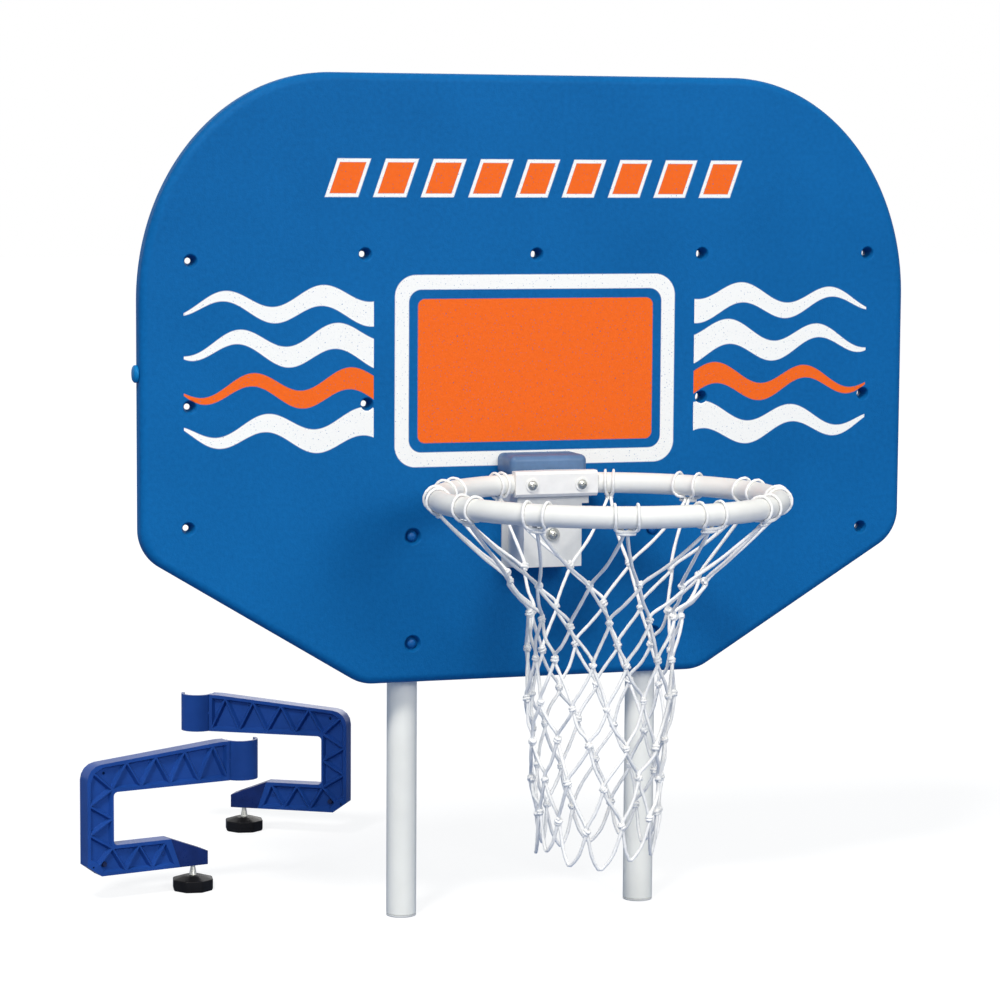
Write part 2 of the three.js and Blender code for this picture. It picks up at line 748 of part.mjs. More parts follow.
function armPockets() {
  const at = (u, v) => new THREE.Vector2(u, v);
  const rim = armRimWidth;
  const end = saddleCentre() - postRadius - saddleClearance - saddleWall / 2 - rim;
  const slope = armPeakRise / armPeakRun;
  const topAt = (u) => armHeelHeight + slope * Math.min(u, armPeakRun) - rim;
  const throatHigh = at(armBackDepth - rim / 2, armUnderside + rim);
  const throatLow = at(armBackDepth - rim / 2, lowerArmTop - rim);
  const upperInner = evenPoints(throatHigh, at(end, armUnderside + rim), upperBays);
  const upperOuter = evenPoints(throatHigh, at(end, armUnderside), upperBays, 1 / 2);
  for (const point of upperOuter) point.y = topAt(point.x);
  const backInner = evenPoints(throatHigh, throatLow, backBays);
  const backOuter = evenPoints(at(rim, throatHigh.y), at(rim, throatLow.y), backBays, 1 / 2);
  const lowerInner = evenPoints(throatLow, at(lowerArmEnd - 2 * rim, throatLow.y), lowerBays);
  const lowerOuter = evenPoints(at(throatLow.x, rim), at(lowerArmEnd - 2 * rim, rim), lowerBays, 1 / 2);
  const roundRun = (heelRadius - rim) * Math.SQRT1_2;
  const heelMiddle = at(heelRadius - roundRun, armHeelHeight - heelRadius + roundRun);
  const toeMiddle = at(heelChamferRun - rim, heelChamferRise);
  return [
    ...trussPockets(upperInner, upperOuter),
    [upperOuter[upperBays - 1], at(end, topAt(end)), upperInner[upperBays]],
    ...trussPockets(backInner, backOuter),
    ...trussPockets(lowerInner, lowerOuter),
    [lowerOuter[lowerBays - 1], at(lowerArmEnd + jawSlant - 2 * rim, rim), lowerInner[lowerBays]],
    [throatHigh, upperOuter[0], at(heelRadius, topAt(heelRadius)), heelMiddle],
    [throatHigh, heelMiddle, at(rim, armHeelHeight - heelRadius), backOuter[0]],
    [throatLow, backOuter[backBays - 1], at(rim, heelChamferRise + 2 * rim), toeMiddle],
    [throatLow, toeMiddle, at(heelChamferRun + rim, rim), lowerOuter[0]],
  ];
}

// A pocket with sloping walls: wider at the arm's face than at its floor, on the given side
function pocketSolid(corners, side) {
  const half = armThickness / 2;
  const flank = (armRibRoot - armRibCrest) / 2 / armPocketDepth;
  const count = corners.length;
  const floor = drawnIn(corners, armRibRoot / 2);
  const mouth = drawnIn(corners, armRibCrest / 2 - flank * cutOverrun);
  const vertices = floor.flatMap((corner) => [corner.x, side * (half - armPocketDepth), corner.y]);
  vertices.push(...mouth.flatMap((corner) => [corner.x, side * (half + cutOverrun), corner.y]));
  const faces = [];
  for (let i = 0; i < count; i += 1) {
    const next = (i + 1) % count;
    faces.push(i, next, count + next);
    faces.push(i, count + next, count + i);
  }
  for (let i = 2; i < count; i += 1) {
    faces.push(0, i, i - 1);
    faces.push(count, count + i - 1, count + i);
  }
  const geometry = new THREE.BufferGeometry();
  geometry.setAttribute("position", new THREE.Float32BufferAttribute(vertices, 3));
  geometry.setIndex(faces);
  return solidOf(geometry);
}

function saddleSolids(bulgeSide) {
  const inner = postRadius + saddleClearance;
  const outer = inner + saddleWall;
  const centre = saddleCentre();
  const height = [armUnderside, armHeight];
  const sleeve = solidOf(rod(outer, ...height, "z", roundFacets).translate(centre, 0, 0));
  const edge = -cutOverrun / 2;
  const near = bulgeSide > 0 ? [edge, outer + cutOverrun] : [-outer - cutOverrun, -edge];
  const halfSpace = box(centre - outer - cutOverrun, centre + outer + cutOverrun, ...near, ...height);
  const gussetV = (armUnderside + armHeight) / 2;
  const side = (bulgeSide * armThickness) / 2;
  const gusset = box(
    centre - outer, centre, Math.min(0, side), Math.max(0, side),
    gussetV - gussetThickness / 2, gussetV + gussetThickness / 2,
  );
  const bore = rod(inner, armUnderside - cutOverrun, armHeight + cutOverrun, "z", roundFacets);
  return {
    added: sleeve.intersect(solidOf(halfSpace)).add(solidOf(gusset)),
    bore: solidOf(bore.translate(centre, 0, 0)),
  };
}

function armGeometry(bulgeSide) {
  const half = armThickness / 2;
  let arm = solidOf(slab(armOutline(), -half, half));
  for (const pocket of armPockets()) {
    arm = arm.subtract(pocketSolid(pocket, -1)).subtract(pocketSolid(pocket, 1));
  }
  const saddle = saddleSolids(bulgeSide);
  arm = arm.add(saddle.added).subtract(saddle.bore);
  const gap = seatGap;
  const mortise = box(
    lowerArmEnd - tenonLength - gap, lowerArmEnd + jawSlant + cutOverrun, -tenonThickness / 2 - gap,
    tenonThickness / 2 + gap, (lowerArmTop - tenonHeight) / 2 - gap, (lowerArmTop + tenonHeight) / 2 + gap,
  );
  arm = arm.subtract(solidOf(mortise));
  const through = [-half - cutOverrun, half + cutOverrun];
  const pinHole = rod(jawPinDiameter / 2 + gap, ...through, "y", boltFacets);
  arm = arm.subtract(solidOf(pinHole.translate(lowerArmEnd - tenonLength / 2, 0, lowerArmTop / 2)));
  const face = bulgeSide * half;
  const drill = (radius, depth, u, v) => {
    const ends = [face - bulgeSide * depth, face + bulgeSide * cutOverrun].sort((a, b) => a - b);
    arm = arm.subtract(solidOf(rod(radius, ...ends, "y", boltFacets).translate(u, 0, v)));
  };
  const screwFloor = armPocketDepth + cornerScrewLength + gap;
  drill(cornerScrewDiameter / 2 + gap, screwFloor, heelHoleRun, cornerScrewRise);
  drill(cornerScrewHeadDiameter / 2 + gap, armPocketDepth, heelHoleRun, cornerScrewRise);
  drill(heelHoleDiameter / 2, armPocketDepth + heelHoleDepth, heelHoleRun, armHeelHeight - heelHoleInset);
  drill(heelPinholeDiameter / 2, heelHoleDepth, heelPinholeRun, heelPinholeRise);
  return geometryOf(arm);
}

function jawGeometry() {
  const half = armThickness / 2;
  const slantGap = (seatGap * Math.hypot(jawSlant, lowerArmTop)) / lowerArmTop;
  const [start, end] = [lowerArmEnd + slantGap, lowerArmEnd + jawLength];
  const outline = [[start + jawSlant, 0], [end, 0], [end, jawTipHeight], [start, lowerArmTop]];
  let jaw = solidOf(slab(outline.map(([u, v]) => new THREE.Vector2(u, v)), -half, half));
  const tenon = box(
    lowerArmEnd - tenonLength, start + jawSlant + cutOverrun, -tenonThickness / 2, tenonThickness / 2,
    (lowerArmTop - tenonHeight) / 2, (lowerArmTop + tenonHeight) / 2,
  );
  jaw = jaw.add(solidOf(tenon));
  const pinHole = rod(jawPinDiameter / 2 + seatGap, -half, half, "y", boltFacets);
  jaw = jaw.subtract(solidOf(pinHole.translate(lowerArmEnd - tenonLength / 2, 0, lowerArmTop / 2)));
  const top = lowerArmTop + cutOverrun;
  const nutEnds = [nutRise - seatGap, nutRise + nutHeight + seatGap];
  const holes = [
    rod(neckBoreRadius, -cutOverrun, nutEnds[0], "z", boltFacets),
    rod(nutWidth / Math.sqrt(3) + seatGap, ...nutEnds, "z", hexFacets),
    rod(studBoreRadius, 0, top, "z", boltFacets),
    rod(padDiameter / 2 + seatGap, padTop - padThickness - seatGap, top, "z", boltFacets),
  ];
  for (const hole of holes) jaw = jaw.subtract(solidOf(hole.translate(studRun, 0, 0)));
  return geometryOf(jaw);
}

function jawPinGeometry() {
  const half = armThickness / 2 - armPocketDepth;
  return rod(jawPinDiameter / 2, -half, half, "y", boltFacets);
}

function padGeometry() {
  const bottom = padTop - padThickness;
  const profile = [
    [0, padTop], [padDiameter / 2, padTop], [padDiameter / 2, bottom], [studBoreRadius, bottom],
    [studBoreRadius, bottom + padSocketDepth], [0, bottom + padSocketDepth],
  ];
  return turned(profile, "z", boltFacets);
}

function studGeometry() {
  const radius = studDiameter / 2;
  const top = padTop - padThickness + padSocketDepth - seatGap;
  const seat = -knobClearance + seatGap;
  const bottom = -knobClearance - knobSocketDepth + seatGap;
  const profile = [
    [0, bottom], [radius, bottom], [radius, seat], [neckDiameter / 2, seat],
    [radius, 0], [radius, top], [0, top],
  ];
  return turned(profile, "z", boltFacets);
}

function knobGeometry() {
  const radius = knobDiameter / 2;
  const bottom = -knobDrop;
  const top = -knobClearance;
  const socket = studDiameter / 2 + seatGap;
  const profile = [
    [0, bottom], [radius - knobSkirtChamfer, bottom], [radius, bottom + knobSkirtChamfer],
    [radius, bottom + knobSideHeight], [knobCrownDiameter / 2, top], [0, top],
  ];
  const body = solidOf(turned(profile, "z", knobFacets));
  const bore = rod(socket, top - knobSocketDepth, top + cutOverrun, "z", boltFacets);
  return geometryOf(body.subtract(solidOf(bore)));
}

function cornerScrewGeometry(bulgeSide) {
  const seat = armThickness / 2 - armPocketDepth + seatGap;
  const crown = seat + cornerScrewHeadHeight;
  const tip = seat - cornerScrewLength;
  const profile = [
    [0, tip], [cornerScrewDiameter / 2, tip], [cornerScrewDiameter / 2, seat],
    [cornerScrewHeadDiameter / 2, seat],
    [(cornerScrewHeadDiameter / 2) * domeShoulderShare, crown], [0, crown],
  ];
  return turned(profile.map(([radius, along]) => [radius, along * bulgeSide]), "y", boltFacets);
}

// Materials

const materials = {
  boardBlue: new THREE.MeshStandardMaterial({ color: 0x1665aa, roughness: 0.5, metalness: 0 }),
  plugBlue: new THREE.MeshStandardMaterial({ color: 0x1f8fc0, roughness: 0.4, metalness: 0 }),
  hoodBlue: new THREE.MeshStandardMaterial({ color: 0x5a7db9, roughness: 0.25, metalness: 0 }),
  white: new THREE.MeshStandardMaterial({ color: 0xf0efec, roughness: 0.4, metalness: 0 }),
  postWhite: new THREE.MeshStandardMaterial({ color: 0xe8e8e2, roughness: 0.35, metalness: 0 }),
  cord: new THREE.MeshStandardMaterial({ color: 0xf4f3f0, roughness: 0.9, metalness: 0 }),
  bracketBlue: new THREE.MeshStandardMaterial({ color: 0x1c4091, roughness: 0.45, metalness: 0 }),
  jawNavy: new THREE.MeshStandardMaterial({ color: 0x14255c, roughness: 0.4, metalness: 0 }),
  knobBlack: new THREE.MeshStandardMaterial({ color: 0x111214, roughness: 0.5, metalness: 0 }),
  steel: new THREE.MeshStandardMaterial({ color: 0xb8babc, roughness: 0.3, metalness: 1 }),
};

function piece(name, geometry, material, place = [0, 0, 0]) {
  const mesh = new THREE.Mesh(closedGeometry(geometry), material);
  mesh.name = name;
  mesh.position.set(...place);
  return mesh;
}

// Assembly

function hoop() {
  const group = new THREE.Group();
  const plugPlace = [-boardHalfWidth, boardMiddle, boardBottom + plugRise];
  group.add(piece("backboard", backboardGeometry(), materials.boardBlue));
  group.add(piece("edge_plug", edgePlugGeometry(), materials.plugBlue, plugPlace));
  group.add(piece("rim_hood", rimHoodGeometry(), materials.hoodBlue));
  group.add(piece("rim_bracket", rimBracketGeometry(), materials.white));
  group.add(piece("rim_collar", rimCollarGeometry(), materials.white));
  group.add(piece("rim_ring", ringGeometry(), materials.white));
  group.add(piece("rim_back_plate", backPlateGeometry(), materials.steel));
  for (const { name, x, z, seat } of rimBoltPlaces()) {
    const ringMaterial = name === "lower" ? materials.steel : materials.white;
    group.add(piece(`rim_bolt_${name}`, rimBoltGeometry(seat), materials.steel, [x, 0, z]));
    group.add(piece(`rim_washer_${name}`, rimWasherGeometry(seat), ringMaterial, [x, 0, z]));
    group.add(piece(`rim_nut_${name}`, rimNutGeometry(), materials.steel, [x, 0, z]));
  }
  for (const [side, x] of [["left", -postSpacing / 2], ["right", postSpacing / 2]]) {
    group.add(piece(`post_${side}`, postGeometry(), materials.postWhite, [x, postY, 0]));
    group.add(piece(`post_foot_cap_${side}`, postCapGeometry(1), materials.postWhite, [x, postY, 0]));
    group.add(piece(`post_top_cap_${side}`, postCapGeometry(-1), materials.postWhite, [x, postY, postTop]));
  }
  for (const { name, x, z } of postBoltPlaces()) {
    group.add(piece(`post_bolt_${name}`, postBoltGeometry(), materials.steel, [x, 0, z]));
    group.add(piece(`post_washer_${name}`, postWasherGeometry(), materials.steel, [x, 0, z]));
    group.add(piece(`post_nut_${name}`, postNutGeometry(), materials.steel, [x, 0, z]));
  }
  group.add(piece("net", netGeometry(), materials.cord));
  return group;
}

function deckBracket({ name, x, y, headingDegrees, bulgeSide }) {
  const bracket = new THREE.Group();
  const pinPlace = [lowerArmEnd - tenonLength / 2, 0, lowerArmTop / 2];
  const screwPlace = [heelHoleRun, 0, cornerScrewRise];
  const onStud = [studRun, 0, 0];
  const hexNut = nut(nutWidth, studBoreRadius, nutRise, nutRise + nutHeight, "z");
  bracket.add(piece(`${name}_arm`, armGeometry(bulgeSide), materials.bracketBlue));
  bracket.add(piece(`${name}_jaw`, jawGeometry(), materials.jawNavy));
  bracket.add(piece(`${name}_jaw_pin`, jawPinGeometry(), materials.steel, pinPlace));
  bracket.add(piece(`${name}_corner_screw`, cornerScrewGeometry(bulgeSide), materials.steel, screwPlace));
  bracket.add(piece(`${name}_nut`, hexNut, materials.steel, onStud));
  bracket.add(piece(`${name}_pad`, padGeometry(), materials.knobBlack, onStud));
  bracket.add(piece(`${name}_stud`, studGeometry(), materials.steel, onStud));
  bracket.add(piece(`${name}_knob`, knobGeometry(), materials.knobBlack, onStud));
  const heading = THREE.MathUtils.degToRad(headingDegrees);
  bracket.rotation.z = heading;
  bracket.position.set(x - studRun * Math.cos(heading), y - studRun * Math.sin(heading), knobDrop);
  return bracket;
}

const part = new THREE.Group();
part.add(hoop());
for (const place of bracketPlaces) part.add(deckBracket(place));

export default part;
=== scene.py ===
import json
import math
import random

import bmesh
import bpy
from mathutils import Matrix, Vector


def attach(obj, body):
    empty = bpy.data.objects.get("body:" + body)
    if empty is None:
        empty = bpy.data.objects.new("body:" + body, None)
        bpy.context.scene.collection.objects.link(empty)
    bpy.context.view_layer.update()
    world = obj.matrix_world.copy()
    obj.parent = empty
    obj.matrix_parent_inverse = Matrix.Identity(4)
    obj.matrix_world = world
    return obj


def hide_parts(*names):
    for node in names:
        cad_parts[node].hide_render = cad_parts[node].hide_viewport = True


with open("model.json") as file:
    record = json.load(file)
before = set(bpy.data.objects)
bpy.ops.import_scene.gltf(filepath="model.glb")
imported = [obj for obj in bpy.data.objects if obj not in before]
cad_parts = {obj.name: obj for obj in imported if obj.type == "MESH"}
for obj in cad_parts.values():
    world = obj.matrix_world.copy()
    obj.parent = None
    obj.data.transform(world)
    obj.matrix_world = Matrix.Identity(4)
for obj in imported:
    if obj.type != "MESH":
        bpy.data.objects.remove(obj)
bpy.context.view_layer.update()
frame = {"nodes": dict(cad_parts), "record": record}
MM = 0.001

# Camera: the photograph's place, in metres, and its lens, fitted to the board's outline, ring and posts

AZIMUTH, ELEVATION, ROLL = math.radians(-18.57), math.radians(5.91), math.radians(0.36)
CAMERA_TARGET, CAMERA_AWAY = Vector((-0.052, 0, 0.5894)), 4.575
LENS, SENSOR, FARTHEST = 118.6, 36, 60

# Board, in millimetres as in the CAD model; the tack-offs are in shares of its half width and height,
# and cutters reach past its faces by CUT_PAST

BOARD_HALF, BOARD_LOW, BOARD_TALL, BOARD_THICK, BOARD_EDGE = 559, 338, 838, 38, 12
CHAMFER_RUN, CHAMFER_RISE, CHAMFER_ROUND = 310, 188, 60
ARCH_WIDE, ARCH_TALL = 266, 308
CORNER_STEPS, ARCH_STEPS, EDGE_STEPS = 14, 48, 8
PLUG_Y, PLUG_Z, PLUG_HOLE, PLUG_HOLE_DEEP = 19, 771, 7.8, 12
LIP_INNER, LIP_WIDE, LIP_DEEP, LIP_STEPS, THROAT = 8.6, 2.9, 2.4, 6, 4.0
TACKS = [
    (-0.877, 0.697), (-0.442, 0.707), (0, 0.706), (0.44, 0.706), (0.896, 0.706),
    (-0.88, 0.463), (-0.437, 0.463), (0.442, 0.465), (0.889, 0.466), (-0.884, 0.267), (0.889, 0.236),
]
CUT_PAST = 3

# Posts and their bolts; the washers' y is their front face's, and the board's channels for the posts
# narrow from CHANNEL_SHOULDER up to a radius of CHANNEL_END

POST_X, POST_Y, POST_RADIUS, POST_WALL, POST_TALL = 178, 51.1, 21.1, 3.6, 700
CHANNEL_PLAY, CHANNEL_SHOULDER, CHANNEL_END = 0.3, POST_TALL - 4, 18
CAP_THICK, CAP_PLAY, CAP_PLUG, CAP_WALL = 3, 0.3, 18, 2.5
SIDES = {"left": -POST_X, "right": POST_X}
POST_BOLT_HEIGHTS = {"low": 393, "high": 542}
POST_BOLT, POST_BOLT_BORE, POST_BOLT_END = 4, 4.3, 85
POST_WASHER, POST_WASHER_Y = 9, 72.5

# Rim; each screw has its x, its z and the y of the face that it sits on

RING_RADIUS, RING_TUBE, RING_Y, RING_Z = 224, 14.3, -288, 618
RING_SEGMENTS, TUBE_SEGMENTS = 160, 28
RIM_SCREWS = {"left": (-36, 618, -90), "right": (36, 618, -90), "lower": (0, 548, -74)}
SCREW, SCREW_BORE, SCREW_END, SCREW_HEAD = 3, 3.3, 54, 6.75
RIM_WASHER, WASHER_THICK, WASHER_BEVEL, WASHER_PLAY = 9.5, 1.6, 0.35, 0.3
HEAD_TALL, CROSS_HALF, CROSS_BLADE, CROSS_DEEP, CROSS_TAPER = 4.0, 3.8, 0.85, 2.2, 0.75

# Hood: heights above the ring's centre, half widths, and places along y. Its edge hangs HOOD_LIP below its
# seat, its skirts reach SKIRT_JOIN up into it, and what is cut away reaches HOOD_PAST beyond it

HOOD_ROOF, HOOD_SKIRT, ROOF_THICK, HOOD_ROUND = 37.5, 4.6, 9, 8.5
HOOD_LIP, SKIRT_JOIN, HOOD_PAST = 6.5, 1, 25
HOOD_HALF, SKIRT_OUTER, SKIRT_INNER, CAVITY_HALF = 55.8, 54.8, 52.3, 48.8
HOOD_FRONT, SKIRT_FRONT, CAVITY_FRONT, CAVITY_BACK, SKIRT_BACK, HOOD_BACK = -58, -54, -51, -4.1, -1.5, -0.6

# Net: cord radii, drops below the ring's centre, radii of the rows, how wide the hitches are to each side
# (the two beside the collar are narrow), and how the cords lie at a knot

CORD, TURN_CORD, CORD_STEPS, CORD_SIDES = 2.3, 1.8, 5, 8
ROW_DROPS = [100, 152, 205, 258, 311, 364, 417]
ROW_RADII = [132, 101, 97, 95, 91, 88, 84]
LOOP_DROP, LOOP_RADIUS, NET_LEAN = 478, 81, 14
HITCHES, HITCH_START, HITCH_HALF, COLLAR_HITCH_HALF = 12, 21, (13.5, 17), 5.5
WRAP = RING_TUBE + TURN_CORD + 0.35
WRAP_DEGREES = (212, 180, 145, 110, 75, 40, 5, -28, -58)
LEG_APART, LEG_SQUEEZE, KNOT_HALF = 1.1, 1.5, 7.0
COIL_TURNS, COIL_STEPS, COIL_RADIUS, COIL_TALL, COIL_SIDES = 2.3, 26, 3.1, 6.8, 7

# Deck brackets: x, y and heading in degrees; heights are from the jaw's underside

BRACKETS = {"bracket_a": (-421, 294, 12.9), "bracket_b": (-245, 689, 148)}
KNOB_GAP, KNOB_TALL, KNOB_SIDES, KNOB_STEPS, KNOB_CORNER = 16, 22, 8, 8, 0.985
KNOB_CROWN, KNOB_SHOULDER = 12, 26
STUD_TOP, STUD_BOTTOM, STUD_RADIUS = 20.7, -27.7, 3.0
THREAD_DEEP, THREAD_PITCH, THREAD_ROWS, STUD_SEGMENTS = 0.45, 1.0, 6, 24
CONE_RADIUS, CONE_POWER, CONE_GAP = 5.7, 1.25, 0.3

# Print on the board, in metres; the frame's parts are half width, half height and corner radius

TARGET_Z, PRINT_BLUR, PRINT_DEEP = 0.770, 0.0006, 0.0012
FRAME_OUTER, FRAME_INNER, PANEL = (0.205, 0.132, 0.030), (0.185, 0.112, 0.018), (0.172, 0.099, 0.010)
WAVE_START, WAVE_END, WAVE_POINT, WAVE_RATE, WAVE_TAPER = 0.235, 0.5, 0.505, 46.0, 0.6
WAVES = [
    # height, amplitude, half thickness, shift in radians, colour
    (0.862, 0.013, 0.017, 0.0, "white"),
    (0.806, 0.014, 0.020, 0.9, "white"),
    (0.748, 0.014, 0.016, 1.8, "orange"),
    (0.690, 0.013, 0.020, 2.7, "white"),
]
BAR_Z, BAR_PITCH, BAR_COUNT, BAR_LEAN = 1.034, 0.068, 9, 0.35
BAR_HALF_WIDE, BAR_HALF_TALL, BAR_MARGIN = 0.0235, 0.026, 0.005


# Mesh helpers; points are in millimetres

def link(name, data):
    piece = bpy.data.objects.new(name, data)
    bpy.context.scene.collection.objects.link(piece)
    return piece


def mesh_piece(name, points, faces):
    mesh = bpy.data.meshes.new(name)
    mesh.from_pydata([Vector(p) * MM for p in points], [], faces)
    bm = bmesh.new()
    bm.from_mesh(mesh)
    bmesh.ops.recalc_face_normals(bm, faces=bm.faces)
    bm.to_mesh(mesh)
    bm.free()
    return link(name, mesh)


def shade(piece, degrees=32, weighted=True):
    """Smooth shading, with sharp edges where faces meet at more than the given angle."""
    bm = bmesh.new()
    bm.from_mesh(piece.data)
    limit = math.radians(degrees)
    for face in bm.faces:
        face.smooth = True
    for edge in bm.edges:
        edge.smooth = len(edge.link_faces) == 2 and edge.calc_face_angle(0) < limit
    bm.to_mesh(piece.data)
    bm.free()
    if weighted:
        modifier = piece.modifiers.new("normals", "WEIGHTED_NORMAL")
        modifier.keep_sharp = True
        modifier.weight = 60
    return piece


def baked(piece):
    """Replaces a piece's mesh with the one that its modifiers make, and removes them."""
    depsgraph = bpy.context.evaluated_depsgraph_get()
    mesh = bpy.data.meshes.new_from_object(piece.evaluated_get(depsgraph))
    piece.modifiers.clear()
    piece.data = mesh


def ring_faces(rings, count, closed=False):
    """Faces between neighbouring rings of points; closed joins the last ring to the first."""
    faces = []
    for ring in range(rings if closed else rings - 1):
        a, b = ring * count, ((ring + 1) % rings) * count
        for i in range(count):
            j = (i + 1) % count
            faces.append((a + i, a + j, b + j, b + i))
    return faces


def capped_faces(rings, count):
    """Faces between the rings, and one face over each end."""
    return ring_faces(rings, count) + [tuple(range(count)), tuple(range((rings - 1) * count, rings * count))]


def turned(profile, axis, segments=32, place=(0, 0, 0)):
    """A turned solid's points and faces, from profile points of radius and distance along the axis."""
    points, rows, faces = [], [], []
    for radius, along in profile:
        if radius < 1e-6:
            rows.append([len(points)])
            points.append((0, 0, along))
            continue
        rows.append(list(range(len(points), len(points) + segments)))
        for i in range(segments):
            turn = 2 * math.pi * i / segments
            points.append((radius * math.cos(turn), radius * math.sin(turn), along))
    for low, high in zip(rows, rows[1:]):
        for i in range(segments):
            j = (i + 1) % segments
            if len(low) == 1 and len(high) > 1:
                faces.append((low[0], high[j], high[i]))
            elif len(high) == 1 and len(low) > 1:
                faces.append((low[i], low[j], high[0]))
            elif len(low) > 1:
                faces.append((low[i], low[j], high[j], high[i]))
    # A profile that ends where it starts makes a ring, so its last row of points is its first
    if len(rows[0]) > 1 and profile[0] == profile[-1]:
        first, last = rows[0], rows[-1]
        swap = dict(zip(last, first))
        faces = [tuple(swap.get(k, k) for k in face) for face in faces]
        points = points[: last[0]]
    spin = {"x": lambda p: (p[2], p[0], p[1]), "y": lambda p: (p[1], p[2], p[0]), "z": lambda p: p}[axis]
    points = [spin(p) for p in points]
    return [(p[0] + place[0], p[1] + place[1], p[2] + place[2]) for p in points], faces


def merged(parts):
    points, faces = [], []
    for more, polygons in parts:
        offset = len(points)
        points.extend(more)
        faces.extend(tuple(k + offset for k in polygon) for polygon in polygons)
    return points, faces


def cut(piece, parts, operation="DIFFERENCE"):
    tool = mesh_piece("cutter", *merged(parts))
    modifier = piece.modifiers.new("cut", "BOOLEAN")
    modifier.operation, modifier.solver, modifier.object = operation, "EXACT", tool
    baked(piece)
    bpy.data.objects.remove(tool)
    return piece


def block(low, high):
    points = [(x, y, z) for x in (low[0], high[0]) for y in (low[1], high[1]) for z in (low[2], high[2])]
    return points, [(0, 1, 3, 2), (4, 6, 7, 5), (0, 4, 5, 1), (2, 3, 7, 6), (0, 2, 6, 4), (1, 5, 7, 3)]


def rounded_block(low, high, radius, steps=5):
    """A block whose edges and corners are rounded all over; its faces are finest at the edges."""
    offsets = [radius * math.tan(math.pi / 4 * k / steps) for k in range(steps + 1)]
    marks = []
    for a, b in zip(low, high):
        marks.append([a + radius - o for o in reversed(offsets)] + [b - radius + o for o in offsets])
    index, points, faces = {}, [], []

    def vertex(place):
        key = tuple(round(v, 4) for v in place)
        if key not in index:
            core = Vector([min(max(v, a + radius), b - radius) for v, a, b in zip(place, low, high)])
            index[key] = len(points)
            points.append(core + (Vector(place) - core).normalized() * radius)
        return index[key]

    for axis in range(3):
        u, v = (axis + 1) % 3, (axis + 2) % 3
        for level in (low[axis], high[axis]):
            for i in range(len(marks[u]) - 1):
                for j in range(len(marks[v]) - 1):
                    corners = []
                    for a, b in ((i, j), (i + 1, j), (i + 1, j + 1), (i, j + 1)):
                        place = [0.0, 0.0, 0.0]
                        place[axis], place[u], place[v] = level, marks[u][a], marks[v][b]
                        corners.append(vertex(place))
                    faces.append(tuple(corners) if level == high[axis] else tuple(reversed(corners)))
    return points, faces


def curve_through(points, steps):
    """Points of a smooth curve through the given ones."""
    out = []
    for i in range(len(points) - 1):
        a, b = points[max(i - 1, 0)], points[i]
        c, d = points[i + 1], points[min(i + 2, len(points) - 1)]
        for k in range(steps):
            t = k / steps
            out.append(((2 * b) + (c - a) * t + (2 * a - 5 * b + 4 * c - d) * t * t
                        + (3 * b - a - 3 * c + d) * t ** 3) / 2)
    out.append(points[-1].copy())
    return out


def sweep(path, radius, sides=8):
    """A tube along the path with pointed ends; radius is a number or a function of the point's number."""
    count = len(path)
    points = []
    normal = None
    for i, point in enumerate(path):
        along = (path[min(i + 1, count - 1)] - path[max(i - 1, 0)]).normalized()
        if normal is None:
            seed = Vector((0, 0, 1)) if abs(along.z) < 0.9 else Vector((1, 0, 0))
            normal = seed.cross(along).normalized()
        normal = (normal - along * normal.dot(along)).normalized()
        side = along.cross(normal)
        size = radius(i) if callable(radius) else radius
        for k in range(sides):
            turn = 2 * math.pi * k / sides
            points.append(point + (normal * math.cos(turn) + side * math.sin(turn)) * size)
    faces = ring_faces(count, sides)
    size = radius(0) if callable(radius) else radius
    for start, point, away in ((0, path[0], path[0] - path[1]),
                               ((count - 1) * sides, path[-1], path[-1] - path[-2])):
        tip = len(points)
        points.append(point + away.normalized() * size * 0.7)
        faces.extend((start + k, start + (k + 1) % sides, tip) for k in range(sides))
    return [tuple(p) for p in points], faces


# Camera

def photo_camera():
    flat = math.cos(ELEVATION)
    back = Vector((math.sin(AZIMUTH) * flat, -math.cos(AZIMUTH) * flat, math.sin(ELEVATION)))
    level = Vector((math.cos(AZIMUTH), math.sin(AZIMUTH), 0))
    upright = back.cross(level)
    right = level * math.cos(ROLL) + upright * math.sin(ROLL)
    up = upright * math.cos(ROLL) - level * math.sin(ROLL)
    data = bpy.data.cameras.new("camera")
    data.sensor_fit, data.sensor_width = "HORIZONTAL", SENSOR
    data.lens, data.clip_end = LENS, FARTHEST
    camera = link("camera", data)
    turn = Matrix((right, up, back)).transposed().to_4x4()
    camera.matrix_world = Matrix.Translation(CAMERA_TARGET + back * CAMERA_AWAY) @ turn
    bpy.context.scene.camera = camera


# Materials

